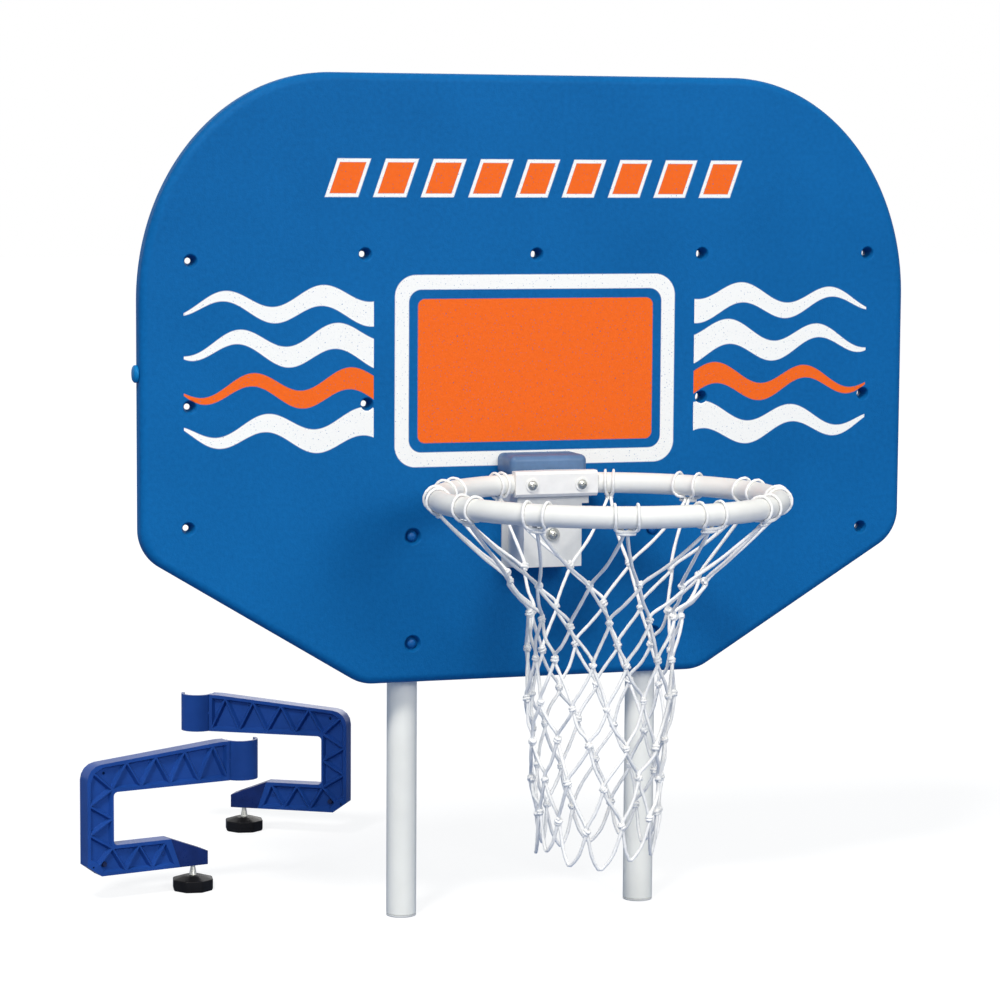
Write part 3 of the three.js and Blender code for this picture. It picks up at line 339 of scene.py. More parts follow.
class Nodes:
    """A material's node tree; math, noise, stretch, span, mix and bump return an output socket."""

    def __init__(self, name):
        self.material = bpy.data.materials.new(name)
        self.material.use_nodes = True
        self.tree = self.material.node_tree
        self.shader = self.tree.nodes["Principled BSDF"]
        self.place = self.add("ShaderNodeTexCoord").outputs["Object"]

    def add(self, kind, **settings):
        node = self.tree.nodes.new(kind)
        for key, value in settings.items():
            setattr(node, key, value)
        return node

    def put(self, socket, value):
        if isinstance(value, bpy.types.NodeSocket):
            self.tree.links.new(value, socket)
        else:
            socket.default_value = value

    def math(self, operation, *values):
        node = self.add("ShaderNodeMath", operation=operation)
        for socket, value in zip(node.inputs, values):
            self.put(socket, value)
        return node.outputs[0]

    def noise(self, scale, detail=2.0, roughness=0.5, place=None):
        node = self.add("ShaderNodeTexNoise")
        self.put(node.inputs["Vector"], place or self.place)
        self.put(node.inputs["Scale"], scale)
        self.put(node.inputs["Detail"], detail)
        self.put(node.inputs["Roughness"], roughness)
        return node.outputs["Fac"]

    def stretch(self, factors):
        node = self.add("ShaderNodeMapping")
        self.put(node.inputs["Vector"], self.place)
        self.put(node.inputs["Scale"], factors)
        return node.outputs["Vector"]

    def span(self, value, from_low, from_high, to_low, to_high):
        node = self.add("ShaderNodeMapRange")
        for socket, number in zip(node.inputs, (value, from_low, from_high, to_low, to_high)):
            self.put(socket, number)
        return node.outputs[0]

    def mix(self, factor, first, second):
        node = self.add("ShaderNodeMix", data_type="RGBA")
        self.put(node.inputs["Factor"], factor)
        self.put(node.inputs[6], first)
        self.put(node.inputs[7], second)
        return node.outputs[2]

    def bump(self, height, strength, distance):
        node = self.add("ShaderNodeBump")
        self.put(node.inputs["Height"], height)
        self.put(node.inputs["Strength"], strength)
        self.put(node.inputs["Distance"], distance)
        return node.outputs["Normal"]

    def surface(self, **sockets):
        """Sets the shader's inputs, whose names have underscores here for spaces."""
        for name, value in sockets.items():
            self.put(self.shader.inputs[name.replace("_", " ")], value)
        return self.material


def rgb(text, gain=1.0):
    """Linear colour from hexadecimal digits."""
    values = [int(text[i:i + 2], 16) / 255 for i in (0, 2, 4)]
    linear = [v / 12.92 if v <= 0.04045 else ((v + 0.055) / 1.055) ** 2.4 for v in values]
    return (*[min(1.0, v * gain) for v in linear], 1.0)


def plain(name, colour, rough, metal=0.0, spread=0.08, grain=(900, 0.12, 0.0002), mottle=35, coat=0.0,
          gloss=0.5):
    """Mottled colour, uneven gloss and a fine grain, given by its scale, strength and depth in metres."""
    nodes = Nodes(name)
    scale, strength, depth = grain
    broad, fine = nodes.noise(mottle, 3), nodes.noise(scale, 2)
    dark, light = rgb(colour, 1 - spread), rgb(colour, 1 + spread)
    return nodes.surface(
        Base_Color=nodes.mix(nodes.span(broad, 0.3, 0.7, 0, 1), dark, light),
        Roughness=nodes.span(fine, 0.25, 0.75, rough * 0.85, rough * 1.15),
        Metallic=metal, Specular_IOR_Level=gloss, Coat_Weight=coat,
        Normal=nodes.bump(fine, strength, depth),
    )


def board_print(nodes):
    """White and orange masks of a target frame, waves on both sides of it and a row of leaning bars."""
    axes = nodes.add("ShaderNodeSeparateXYZ")
    nodes.put(axes.inputs[0], nodes.place)
    x, y, z = axes.outputs

    def less(a, b):
        return nodes.math("SUBTRACT", a, b)

    def size(value):
        return nodes.math("ABSOLUTE", value)

    def larger(a, b):
        return nodes.math("MAXIMUM", a, b)

    def both(a, b):
        return nodes.math("MULTIPLY", a, b)

    def inside(distance):
        return nodes.span(distance, -PRINT_BLUR, PRINT_BLUR, 1, 0)

    def without(a, b):
        return both(a, less(1.0, b))

    def rounded(half_x, half_z, radius):
        over_x = less(size(x), half_x - radius)
        over_z = less(size(less(z, TARGET_Z)), half_z - radius)
        out_x, out_z = larger(over_x, 0.0), larger(over_z, 0.0)
        outside = nodes.math("SQRT", nodes.math("ADD", both(out_x, out_x), both(out_z, out_z)))
        within = nodes.math("MINIMUM", larger(over_x, over_z), 0.0)
        return inside(less(nodes.math("ADD", outside, within), radius))

    white = without(rounded(*FRAME_OUTER), rounded(*FRAME_INNER))
    orange = rounded(*PANEL)

    side = size(x)
    reach = larger(nodes.span(side, WAVE_START, WAVE_POINT, 1.0, 0.0), 0.0)
    taper = nodes.math("POWER", reach, WAVE_TAPER)
    stretch = both(nodes.math("GREATER_THAN", side, WAVE_START), nodes.math("LESS_THAN", side, WAVE_END))
    for height, amplitude, thick, shift, tone in WAVES:
        wave = both(nodes.math("SINE", nodes.math("ADD", both(side, WAVE_RATE), shift)), amplitude)
        away = size(less(less(z, wave), height))
        stripe = both(inside(less(away, both(taper, thick))), stretch)
        if tone == "white":
            white = larger(white, stripe)
        else:
            orange = larger(orange, stripe)

    lean = less(x, both(less(z, BAR_Z), BAR_LEAN))
    wrapped = nodes.math("WRAP", nodes.math("ADD", lean, BAR_PITCH / 2), BAR_PITCH, 0.0)
    across = less(size(less(wrapped, BAR_PITCH / 2)), BAR_HALF_WIDE)
    upright = less(size(less(z, BAR_Z)), BAR_HALF_TALL)
    bar = larger(across, upright)
    row = nodes.math("LESS_THAN", size(lean), BAR_PITCH * BAR_COUNT / 2)
    bars = both(inside(nodes.math("ADD", bar, BAR_MARGIN)), row)
    white = larger(white, without(both(inside(bar), row), bars))
    orange = larger(orange, bars)

    front = nodes.math("LESS_THAN", y, PRINT_DEEP)
    speck = nodes.span(nodes.noise(420, 1), 0.29, 0.33, 0.35, 1)
    return both(both(white, front), speck), both(both(orange, front), speck)


def board_material():
    """Pebbled blue plastic with a print on its front."""
    nodes = Nodes("board_print")
    white, orange = board_print(nodes)
    broad, blotch, pebble = nodes.noise(5, 3), nodes.noise(160, 3), nodes.noise(330, 4, 0.65)
    tone = nodes.math("ADD", nodes.math("MULTIPLY", broad, 0.5), nodes.math("MULTIPLY", blotch, 0.5))
    blue = nodes.mix(nodes.span(tone, 0.35, 0.65, 0, 1), rgb("085b97"), rgb("0d65a5"))
    colour = nodes.mix(white, blue, rgb("f6f5f0"))
    colour = nodes.mix(orange, colour, nodes.mix(blotch, rgb("f0641c"), rgb("f66e26")))
    height = nodes.math("ADD", pebble, nodes.math("MULTIPLY", blotch, 0.5))
    return nodes.surface(
        Base_Color=colour, Specular_IOR_Level=0.06,
        Roughness=nodes.span(nodes.math("MAXIMUM", white, orange), 0, 1, 0.52, 0.42),
        Normal=nodes.bump(height, 0.35, 0.0011),
    )


def cord_material():
    """Soft white cord: strands along it, fuzz, and a little soil."""
    nodes = Nodes("cord_white")
    strands = nodes.noise(420, 2, 0.6, nodes.stretch((1, 1, 0.35)))
    fuzz, soil = nodes.noise(1500, 3, 0.7), nodes.noise(9, 2)
    tint = nodes.mix(nodes.span(strands, 0.3, 0.7, 0, 1), rgb("f0efec"), rgb("fffefb"))
    height = nodes.math("ADD", strands, nodes.math("MULTIPLY", fuzz, 0.4))
    return nodes.surface(
        Base_Color=nodes.mix(nodes.span(soil, 0.45, 0.8, 0, 0.3), tint, rgb("efe9dc")),
        Roughness=nodes.span(fuzz, 0.2, 0.8, 0.75, 0.95), Sheen_Weight=0.05,
        Normal=nodes.bump(height, 0.6, 0.0008),
    )


def steel_material():
    """Bright steel, brushed one way."""
    nodes = Nodes("bright_steel")
    brushed = nodes.noise(500, 3, 0.6, nodes.stretch((0.2, 1, 1)))
    return nodes.surface(
        Base_Color=nodes.mix(brushed, rgb("9fa19a"), rgb("d8d8d2")), Metallic=1.0,
        Roughness=nodes.span(brushed, 0.2, 0.8, 0.22, 0.4), Normal=nodes.bump(brushed, 0.15, 0.0002),
    )


MOULDED = (260, 0.10, 0.0005)
LOOKS = {
    "board": board_material(),
    "plug": plain("plug_blue", "0672b0", 0.4, spread=0.06, gloss=0.12),
    "hood": plain("hood_blue", "557499", 0.42, spread=0.10, grain=(300, 0.06, 0.0003), mottle=60, gloss=0.3),
    "standoff": plain("moulded_white", "eeece8", 0.38, spread=0.03, grain=MOULDED, mottle=80),
    # A greyer copy of the moulded white: painted shade for the bracket that sits under the ring and hood
    "stand": plain("standoff_painted_shade", "d9d9d6", 0.42, spread=0.03, grain=MOULDED, mottle=80, gloss=0.3),
    "rim": plain("rim_white", "e9e8e3", 0.5, spread=0.025, grain=(240, 0.12, 0.0005), mottle=40, gloss=0.25),
    "post": plain("post_white", "f9f8ef", 0.34, spread=0.03, grain=(200, 0.12, 0.0005), mottle=14, coat=0.15),
    "cap": plain("cap_white", "dededa", 0.45, spread=0.03),
    "cord": cord_material(),
    "bracket": plain("bracket_blue", "1d4690", 0.33, spread=0.12, grain=(420, 0.16, 0.0005), mottle=22,
                     gloss=0.18),
    "jaw": plain("jaw_navy", "152a62", 0.3, spread=0.18, grain=(420, 0.12, 0.0004), mottle=60, gloss=0.2),
    "knob": plain("knob_black", "161618", 0.42, spread=0.2, grain=(700, 0.25, 0.0003), mottle=90, gloss=0.12),
    "pad": plain("pad_rubber", "18191b", 0.75, spread=0.15, grain=(1200, 0.4, 0.0003), gloss=0.2),
    "steel": steel_material(),
    "bolt": plain("bolt_blue", "0c5ea2", 0.35, spread=0.15, gloss=0.3),
    "pin": plain("pin_blue", "1b4188", 0.36, spread=0.10, gloss=0.18),
    "dark_screw": plain("screw_dark", "232f55", 0.4, metal=0.4, spread=0.15, gloss=0.3),
    "white_washer": plain("washer_white", "f1f0ec", 0.35, spread=0.03),
}


# Pieces that stand for CAD nodes

def dress(piece, body, slot, *nodes):
    piece.data.materials.clear()
    piece.data.materials.append(LOOKS[slot])
    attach(piece, body)
    if nodes:
        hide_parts(*nodes)
    return piece


def repaint(piece, look):
    """Gives a piece another look than its slot's."""
    piece.data.materials[0] = LOOKS[look]


def body_of(node):
    return next(name for name, members in frame["record"]["behaviour"]["bodies"].items() if node in members)


def slot_of(node):
    return next(row["material_slot"] for row in frame["record"]["subparts"] if row["node"] == node)


def refined(node, width, segments=2):
    """A copy of a CAD node with its flat faces joined up and its edges rounded off."""
    mesh = frame["nodes"][node].data.copy()
    bm = bmesh.new()
    bm.from_mesh(mesh)
    bmesh.ops.remove_doubles(bm, verts=bm.verts, dist=1e-6)
    bmesh.ops.dissolve_limit(bm, angle_limit=math.radians(0.6), verts=bm.verts, edges=bm.edges)
    bm.to_mesh(mesh)
    bm.free()
    piece = link("v_" + node, mesh)
    modifier = piece.modifiers.new("edges", "BEVEL")
    modifier.width = width * MM
    modifier.segments = segments
    modifier.limit_method = "ANGLE"
    modifier.angle_limit = math.radians(32)
    modifier.use_clamp_overlap = True
    baked(piece)
    shade(piece, 40)
    return dress(piece, body_of(node), slot_of(node), node)


# Backboard

def rounded_corner(before, corner, after, radius, steps):
    """Points of an arc that rounds off a corner of an outline."""
    to_before, to_after = (before - corner).normalized(), (after - corner).normalized()
    half = to_before.angle(to_after) / 2
    centre = corner + (to_before + to_after).normalized() * (radius / math.sin(half))
    start = corner + to_before * (radius / math.tan(half)) - centre
    end = corner + to_after * (radius / math.tan(half)) - centre
    whole_turn = math.atan2(start.x * end.y - start.y * end.x, start.dot(end))
    points = []
    for i in range(steps + 1):
        turn = whole_turn * i / steps
        c, s = math.cos(turn), math.sin(turn)
        points.append(Vector((start.x * c - start.y * s, start.x * s + start.y * c)) + centre)
    return points


def board_outline(inset):
    """The board's outline, moved inwards by the inset: chamfered lower corners and arched upper ones."""
    slope = math.hypot(CHAMFER_RUN, CHAMFER_RISE)
    side, bottom = BOARD_HALF - inset, BOARD_LOW + inset
    corner_z = BOARD_LOW + CHAMFER_RISE + inset * (slope - CHAMFER_RISE) / CHAMFER_RUN
    corner_x = BOARD_HALF - CHAMFER_RUN - inset * (slope - CHAMFER_RUN) / CHAMFER_RISE
    arch_x, arch_z = BOARD_HALF - ARCH_WIDE, BOARD_LOW + BOARD_TALL - ARCH_TALL
    middle, foot = Vector((0, bottom)), Vector((corner_x, bottom))
    hip, shoulder = Vector((side, corner_z)), Vector((side, arch_z))
    points = rounded_corner(middle, foot, hip, CHAMFER_ROUND - inset, CORNER_STEPS)
    points += rounded_corner(foot, hip, shoulder, CHAMFER_ROUND - inset, CORNER_STEPS)
    for i in range(ARCH_STEPS + 1):
        turn = math.pi / 2 * i / ARCH_STEPS
        out_x, out_z = (ARCH_WIDE - inset) * math.cos(turn), (ARCH_TALL - inset) * math.sin(turn)
        points.append(Vector((arch_x + out_x, arch_z + out_z)))
    return points + [Vector((-p.x, p.y)) for p in reversed(points)]


def board_shell():
    rings = []
    for i in range(EDGE_STEPS + 1):
        turn = math.pi / 2 * i / EDGE_STEPS
        rings.append((BOARD_EDGE * (1 - math.sin(turn)), BOARD_EDGE * (1 - math.cos(turn))))
    rings += [(inset, BOARD_THICK - y) for inset, y in reversed(rings)]
    points = []
    for inset, y in rings:
        points.extend((p.x, y, p.y) for p in board_outline(inset))
    return mesh_piece("board_shell", points, capped_faces(len(rings), len(points) // len(rings)))


def tack_profile():
    """Cutter of a tack-off: a rounded lip at each face and a narrow throat halfway through."""
    lip = []
    for i in range(LIP_STEPS + 1):
        turn = i * math.pi / 2 / LIP_STEPS
        lip.append((LIP_INNER + LIP_WIDE * (1 - math.sin(turn)), LIP_DEEP * (1 - math.cos(turn)) - 0.15))
    lip = [(lip[0][0], -CUT_PAST)] + lip
    middle = BOARD_THICK / 2
    throat = [(THROAT + 0.4, middle - 2), (THROAT, middle), (THROAT + 0.4, middle + 2)]
    far_lip = [(radius, BOARD_THICK - depth) for radius, depth in reversed(lip)]
    return [(0, -CUT_PAST)] + lip + throat + far_lip + [(0, BOARD_THICK + CUT_PAST)]


def bolt_recess_profile():
    """Cutter of a round recess for a bolt's head, with the bolt's bore behind it."""
    far = BOARD_THICK + CUT_PAST
    return [(0, -CUT_PAST), (13.2, -CUT_PAST), (13.2, -0.15), (12.2, 0.2), (11.4, 1.0), (10.9, 2.2),
            (9.0, 8.2), (8.4, 9), (POST_BOLT_BORE, 9), (POST_BOLT_BORE, far), (0, far)]


def backboard():
    board = board_shell()
    far = BOARD_THICK + CUT_PAST
    screw_bore = [(0, -CUT_PAST), (SCREW_BORE, -CUT_PAST), (SCREW_BORE, far), (0, far)]
    parts = []
    for x, z in TACKS:
        parts.append(turned(tack_profile(), "y", 32, (x * BOARD_HALF, 0, BOARD_LOW + z * BOARD_TALL)))
    for x in SIDES.values():
        parts += [turned(bolt_recess_profile(), "y", 40, (x, 0, z)) for z in POST_BOLT_HEIGHTS.values()]
    parts += [turned(screw_bore, "y", 20, (x, 0, z)) for x, z, _ in RIM_SCREWS.values()]
    cut(board, parts)
    wide, top = POST_RADIUS + CHANNEL_PLAY, POST_TALL + CHANNEL_PLAY
    channel = [(0, -CUT_PAST), (wide, -CUT_PAST), (wide, CHANNEL_SHOULDER), (CHANNEL_END, top), (0, top)]
    cut(board, [turned(channel, "z", 48, (x, POST_Y, 0)) for x in SIDES.values()])
    blow_hole = [(0, -CUT_PAST), (PLUG_HOLE, -CUT_PAST), (PLUG_HOLE, PLUG_HOLE_DEEP), (0, PLUG_HOLE_DEEP)]
    cut(board, [turned(blow_hole, "x", 24, (-BOARD_HALF, PLUG_Y, PLUG_Z))])
    dress(shade(board), "hoop", "board", "backboard")


def edge_plug():
    profile = [(0, -7.3), (6, -7.2), (9.4, -6.6), (11.4, -5.2), (12, -3.6), (12, -1.0), (11.4, -0.3),
               (7.5, -0.3), (7.5, 10), (6, 12), (0, 12)]
    head = mesh_piece("plug_head", *turned(profile, "x", 36, (-BOARD_HALF, PLUG_Y, PLUG_Z)))
    dress(shade(head, 50), "plug", "plug", "edge_plug")


# Fasteners

def pan_head(name, place, seat, node):
    """A pan head with a cross recess, in front of its washer's seat, and the shank behind it."""
    under = seat - WASHER_THICK - 2 * WASHER_PLAY
    crown = under - HEAD_TALL
    profile = [(0, crown), (2.4, under - 3.95), (4.6, under - 3.4), (6.1, under - 2.3),
               (SCREW_HEAD, under - 0.9), (SCREW_HEAD, under), (SCREW, under), (SCREW, SCREW_END),
               (0, SCREW_END)]
    bolt = mesh_piece(name, *turned(profile, "y", 32, place))
    x, _, z = place

    def blade(half_x, half_z):
        points = []
        for share, y in ((1, crown - 2), (CROSS_TAPER, crown + CROSS_DEEP)):
            for sx, sz in ((-1, -1), (1, -1), (1, 1), (-1, 1)):
                points.append((x + sx * half_x * share, y, z + sz * half_z * share))
        return points, [(0, 1, 2, 3), (4, 7, 6, 5), (0, 4, 5, 1), (1, 5, 6, 2), (2, 6, 7, 3), (3, 7, 4, 0)]

    cut(bolt, [blade(CROSS_HALF, CROSS_BLADE)])
    cut(bolt, [blade(CROSS_BLADE, CROSS_HALF)])
    dress(shade(bolt, 35), "hoop", "steel", node)


def carriage_bolt(name, place, node):
    """A low round head in the board's recess, and the shank behind it."""
    profile = [(0, 3.7), (2.5, 3.85), (4.8, 4.5), (6.6, 5.8), (7.4, 7.4), (7.5, 8.7), (POST_BOLT, 8.7),
               (POST_BOLT, POST_BOLT_END), (0, POST_BOLT_END)]
    bolt = mesh_piece(name, *turned(profile, "y", 36, place))
    repaint(dress(shade(bolt, 40), "hoop", "steel", node), "bolt")


def flat_washer(name, place, outer, bore, start, node, slot):
    end, flat = start + WASHER_THICK, outer - WASHER_BEVEL
    profile = [(bore, start), (flat, start), (outer, start + WASHER_BEVEL), (outer, end - WASHER_BEVEL),
               (flat, end), (bore, end), (bore, start)]
    ring = mesh_piece(name, *turned(profile, "y", 40, place))
    dress(shade(ring, 35), "hoop", slot, node)


# Rim

def rim_ring():
    points = []
    for i in range(RING_SEGMENTS):
        turn = 2 * math.pi * i / RING_SEGMENTS
        for k in range(TUBE_SEGMENTS):
            angle = 2 * math.pi * k / TUBE_SEGMENTS
            radius, z = RING_RADIUS + RING_TUBE * math.cos(angle), RING_Z + RING_TUBE * math.sin(angle)
            points.append((radius * math.sin(turn), RING_Y + radius * math.cos(turn), z))
    ring = mesh_piece("ring_tube", points, ring_faces(RING_SEGMENTS, TUBE_SEGMENTS, closed=True))
    dress(shade(ring, 60, False), "hoop", "rim", "rim_ring")


def hood():
    """A round-edged cover that sits on the saddle, hollow underneath, with a skirt down each side."""
    seat, roof, skirt = RING_Z + RING_TUBE, RING_Z + HOOD_ROOF, RING_Z + HOOD_SKIRT
    wide, front, back = HOOD_HALF + HOOD_PAST, HOOD_FRONT - HOOD_PAST, HOOD_BACK + HOOD_PAST
    low, high, ceiling = skirt - HOOD_PAST, roof + HOOD_PAST, roof - ROOF_THICK
    corners = (-HOOD_HALF, HOOD_FRONT, seat - HOOD_LIP), (HOOD_HALF, back, roof)
    cover = mesh_piece("hood_cover", *rounded_block(*corners, HOOD_ROUND))
    board_side = block((-wide, HOOD_BACK, low), (wide, back + HOOD_PAST, high))
    saddle = block((-SKIRT_INNER, front, low), (SKIRT_INNER, back, seat))
    cavity = block((-CAVITY_HALF, CAVITY_FRONT, seat - CUT_PAST), (CAVITY_HALF, CAVITY_BACK, ceiling))
    for hollow in (board_side, saddle, cavity):
        cut(cover, [hollow])
    for left, right in ((-SKIRT_OUTER, -SKIRT_INNER), (SKIRT_INNER, SKIRT_OUTER)):
        cut(cover, [block((left, SKIRT_FRONT, skirt), (right, SKIRT_BACK, seat + SKIRT_JOIN))], "UNION")
    dress(shade(cover, 35), "hoop", "hood", "rim_hood")


def rim():
    rim_ring()
    # The bracket under the ring gets the greyer copy of the moulded white, which is painted shade
    repaint(refined("rim_bracket", 1.2, 3), "stand")
    refined("rim_collar", 1.0, 3)
    hood()
    refined("rim_back_plate", 0.4)
    for name, (x, z, seat) in RIM_SCREWS.items():
        place, start = (x, 0, z), seat - WASHER_PLAY - WASHER_THICK
        pan_head(f"screw_{name}", place, seat, f"rim_bolt_{name}")
        slot = "steel" if name == "lower" else "white_washer"
        flat_washer(f"screw_washer_{name}", place, RIM_WASHER, SCREW_BORE, start, f"rim_washer_{name}", slot)
        refined(f"rim_nut_{name}", 0.3)


# Posts

def post_tube(side, x):
    bore, bevel, low = POST_RADIUS - POST_WALL, 0.8, CAP_THICK + CAP_PLAY
    high = POST_TALL - low
    profile = [(bore, low), (POST_RADIUS - bevel, low), (POST_RADIUS, low + bevel),
               (POST_RADIUS, high - bevel), (POST_RADIUS - bevel, high), (bore, high), (bore, low)]
    tube = mesh_piece(f"tube_{side}", *turned(profile, "z", 56, (x, POST_Y, 0)))
    dress(shade(tube, 35), "hoop", "post", f"post_{side}")


def post_cap(side, x, end, z, way):
    """A cap with a rounded rim and a hollow plug in the tube; way is 1 for upwards and -1 for downwards."""
    outer, plug = POST_RADIUS, POST_RADIUS - POST_WALL - CAP_PLAY
    hollow, deep = plug - CAP_WALL, CAP_THICK + CAP_PLUG
    profile = [(0, 0), (outer - 1.4, 0), (outer - 0.4, 0.4), (outer, 1.4), (outer, 2.6),
               (outer - 0.4, CAP_THICK), (plug, CAP_THICK), (plug, deep), (hollow, deep), (hollow, CAP_THICK),
               (0, CAP_THICK)]
    profile = [(radius, z + way * along) for radius, along in profile]
    cap = mesh_piece(f"{end}_cap_{side}", *turned(profile, "z", 48, (x, POST_Y, 0)))
    dress(shade(cap, 40), "hoop", "cap", f"post_{end}_cap_{side}")


def posts():
    for side, x in SIDES.items():
        post_tube(side, x)
        post_cap(side, x, "foot", 0, 1)
        post_cap(side, x, "top", POST_TALL, -1)
        for level, z in POST_BOLT_HEIGHTS.items():
            key, place = f"{side}_{level}", (x, 0, z)
            carriage_bolt(f"carriage_{key}", place, f"post_bolt_{key}")
            flat_washer(f"carriage_washer_{key}", place, POST_WASHER, POST_BOLT_BORE, POST_WASHER_Y,
                        f"post_washer_{key}", "steel")
            refined(f"post_nut_{key}", 0.3)


# Net: twelve hitches, each the middle of one cord whose two legs run down through the rows of knots

def half_steps(step):
    """The number of half hitches round the net, which names a knot in its row or a loop."""
    return round(step * 2) % (2 * HITCHES)


def net_angle(step, evenness):
    """The hitches leave room for the collar, and the knots even out as the net goes down."""
    wrapped = step % HITCHES
    pitch = (360 - 2 * HITCH_START) / (HITCHES - 1)
    uneven = HITCH_START + wrapped * pitch if wrapped <= HITCHES - 1 else 360
    even = 360 / HITCHES * (wrapped + 0.5)
    return math.radians(uneven + (even - uneven) * evenness)


def net_place(step, evenness, radius, drop):
    turn = net_angle(step, evenness)
    lean = -NET_LEAN * drop / LOOP_DROP
    return Vector((lean + radius * math.sin(turn), RING_Y + radius * math.cos(turn), RING_Z - drop))


def net_directions(here):
    """The outward and the sideways direction at a place on the net."""
    radial = Vector((here.x, here.y - RING_Y, 0)).normalized()
    return radial, Vector((radial.y, -radial.x, 0))


def net_knots(rng):
    """Places of the knots by row and half steps, shaken a little more in each lower row."""
    knots = {}
    for row, (drop, radius) in enumerate(zip(ROW_DROPS, ROW_RADII)):
        for k in range(HITCHES):
            step = (k + (row + 1) / 2) % HITCHES
            place = net_place(step, (row + 1) / len(ROW_DROPS), radius, drop)
            loose = 3.0 + 0.55 * row
            shake = Vector((rng.uniform(-1, 1), rng.uniform(-1, 1), rng.uniform(-1, 1) * 1.3)) * loose
            knots[(row, half_steps(step))] = place + shake
    return knots


def net_loops(rng):
    """Lowest points of the open loops at the net's foot, by half steps."""
    loops = {}
    for k in range(HITCHES):
        step = (k + (len(ROW_DROPS) + 1) / 2) % HITCHES
        drop = LOOP_DROP - rng.uniform(2, 26)
        loops[half_steps(step)] = net_place(step, 1, LOOP_RADIUS - rng.uniform(0, 6), drop)
    return loops


def net_leg(rng, hitch, side, start, knots, loops):
    """Points of one leg, from under the ring through its knots down to its loop's lowest point."""
    points = [start]
    for row in range(len(ROW_DROPS)):
        here = knots[(row, half_steps(hitch + side * (row + 1) / 2))]
        radial, tangent = net_directions(here)
        offset, squeeze = radial * side * LEG_APART, tangent * (-side) * LEG_SQUEEZE
        if row == 0:
            top = here + offset + squeeze + (start - here).normalized() * KNOT_HALF
            points.append(here.lerp(start, 0.5) + Vector((0, 0, -5)) - radial * 3 + tangent * side * -2)
        else:
            top = here + offset + squeeze + Vector((0, 0, KNOT_HALF))
            stray = radial * rng.uniform(-1, 3) + tangent * rng.uniform(-2.6, 2.6)
            stray = stray - Vector((0, 0, rng.uniform(0, 4)))
            points.append(points[-1].lerp(top, 0.5) + stray)
        points.append(top)
        points.append(here + offset - squeeze + Vector((0, 0, -KNOT_HALF)))
    end, last = loops[half_steps(hitch + side * (len(ROW_DROPS) + 1) / 2)], points[-1]
    bulge = Vector((end.x, end.y, last.z)).lerp(last, 0.62)
    bulge.z = last.z + (end.z - last.z) * 0.62
    points.append(bulge)
    points.append(end + (last - end) * 0.16 + Vector((0, 0, (end.z - last.z) * 0.13)))
    points.append(end)
    return points


def hitched_cord(rng, hitch, knots, loops):
    """One cord, hitched over the ring at its middle, and the band that gathers its legs under the ring."""
    angle = net_angle(hitch, 0)
    outward = Vector((math.sin(angle), math.cos(angle), 0))
    along = Vector((math.cos(angle), -math.sin(angle), 0))
    centre = Vector((RING_RADIUS * outward.x, RING_Y + RING_RADIUS * outward.y, RING_Z))
    half = COLLAR_HITCH_HALF if hitch in (0, HITCHES - 1) else rng.uniform(*HITCH_HALF)
    skew = rng.uniform(-2, 2)

    def place(t, r, z):
        return centre + along * t + outward * r + Vector((0, 0, z))

    halves = []
    for side in (1, -1):
        foot = place(side * 2.6, -4.5, -(WRAP + 5.2))
        points = list(reversed(net_leg(rng, hitch, side, foot, knots, loops)))
        points.append(place(side * half * 0.75, -9.5, -(WRAP - 2.2)))
        for degrees in WRAP_DEGREES:
            turn = math.radians(degrees)
            lean = half + skew * math.sin(turn) * 0.5
            size = WRAP + (0.8 if degrees in (180, 75) else 0)
            points.append(place(side * lean, size * math.cos(turn), size * math.sin(turn)))
        points.append(place(side * half * 0.72, 3.5, -(WRAP + 0.6)))
        points.append(place(side * half * 0.3, 1.0, -(WRAP + 1.4)))
        halves.append(points)
    path = curve_through(halves[0] + list(reversed(halves[1])), CORD_STEPS)
    phase = rng.uniform(0, 6)

    def cord_radius(i):
        """Thinner where it is pulled tight over the ring, and slightly uneven everywhere."""
        over = min(1.0, max(0.0, (path[i].z - RING_Z + WRAP) / 6))
        return (CORD + (TURN_CORD - CORD) * over) * (1 + 0.07 * math.sin(i * 1.9 + phase))

    band = []
    for t in (-half * 0.8, -half * 0.4, 0, half * 0.4, half * 0.8):
        band.append(place(t, 0.5 - abs(t) * 0.05, -(WRAP + 3.2 + math.cos(t / half * 1.5) * 1.6)))
    return [sweep(path, cord_radius, CORD_SIDES), sweep(curve_through(band, 4), CORD * 0.95, CORD_SIDES)]


def knot_coil(rng, here):
    """The turns of cord round a knot, tilted and swollen by chance."""
    radial, tangent = net_directions(here)
    tilt, swell = rng.uniform(-1.1, 1.1), rng.uniform(0.95, 1.3)
    axis = (Vector((0, 0, 1)) + tangent * tilt).normalized()
    side = axis.cross(radial).normalized()
    start = rng.uniform(0, 2 * math.pi)
    coil = []
    for i in range(COIL_STEPS + 1):
        t = i / COIL_STEPS
        turn = start + 2 * math.pi * COIL_TURNS * t
        size = COIL_RADIUS * swell * (0.7 + 0.3 * math.sin(math.pi * t))
        rise = axis * (t - 0.5) * COIL_TALL * swell
        coil.append(here + radial * size * math.cos(turn) + side * size * math.sin(turn) + rise)
    return sweep(coil, CORD * 0.92, COIL_SIDES)


def net():
    rng = random.Random(7)
    knots, loops = net_knots(rng), net_loops(rng)
    parts = []
    for hitch in range(HITCHES):
        parts += hitched_cord(rng, hitch, knots, loops)
    parts += [knot_coil(rng, here) for _, here in sorted(knots.items())]
    piece = mesh_piece("net_cords", *merged(parts))
    dress(shade(piece, 70, False), "hoop", "cord", "net")


# Deck brackets

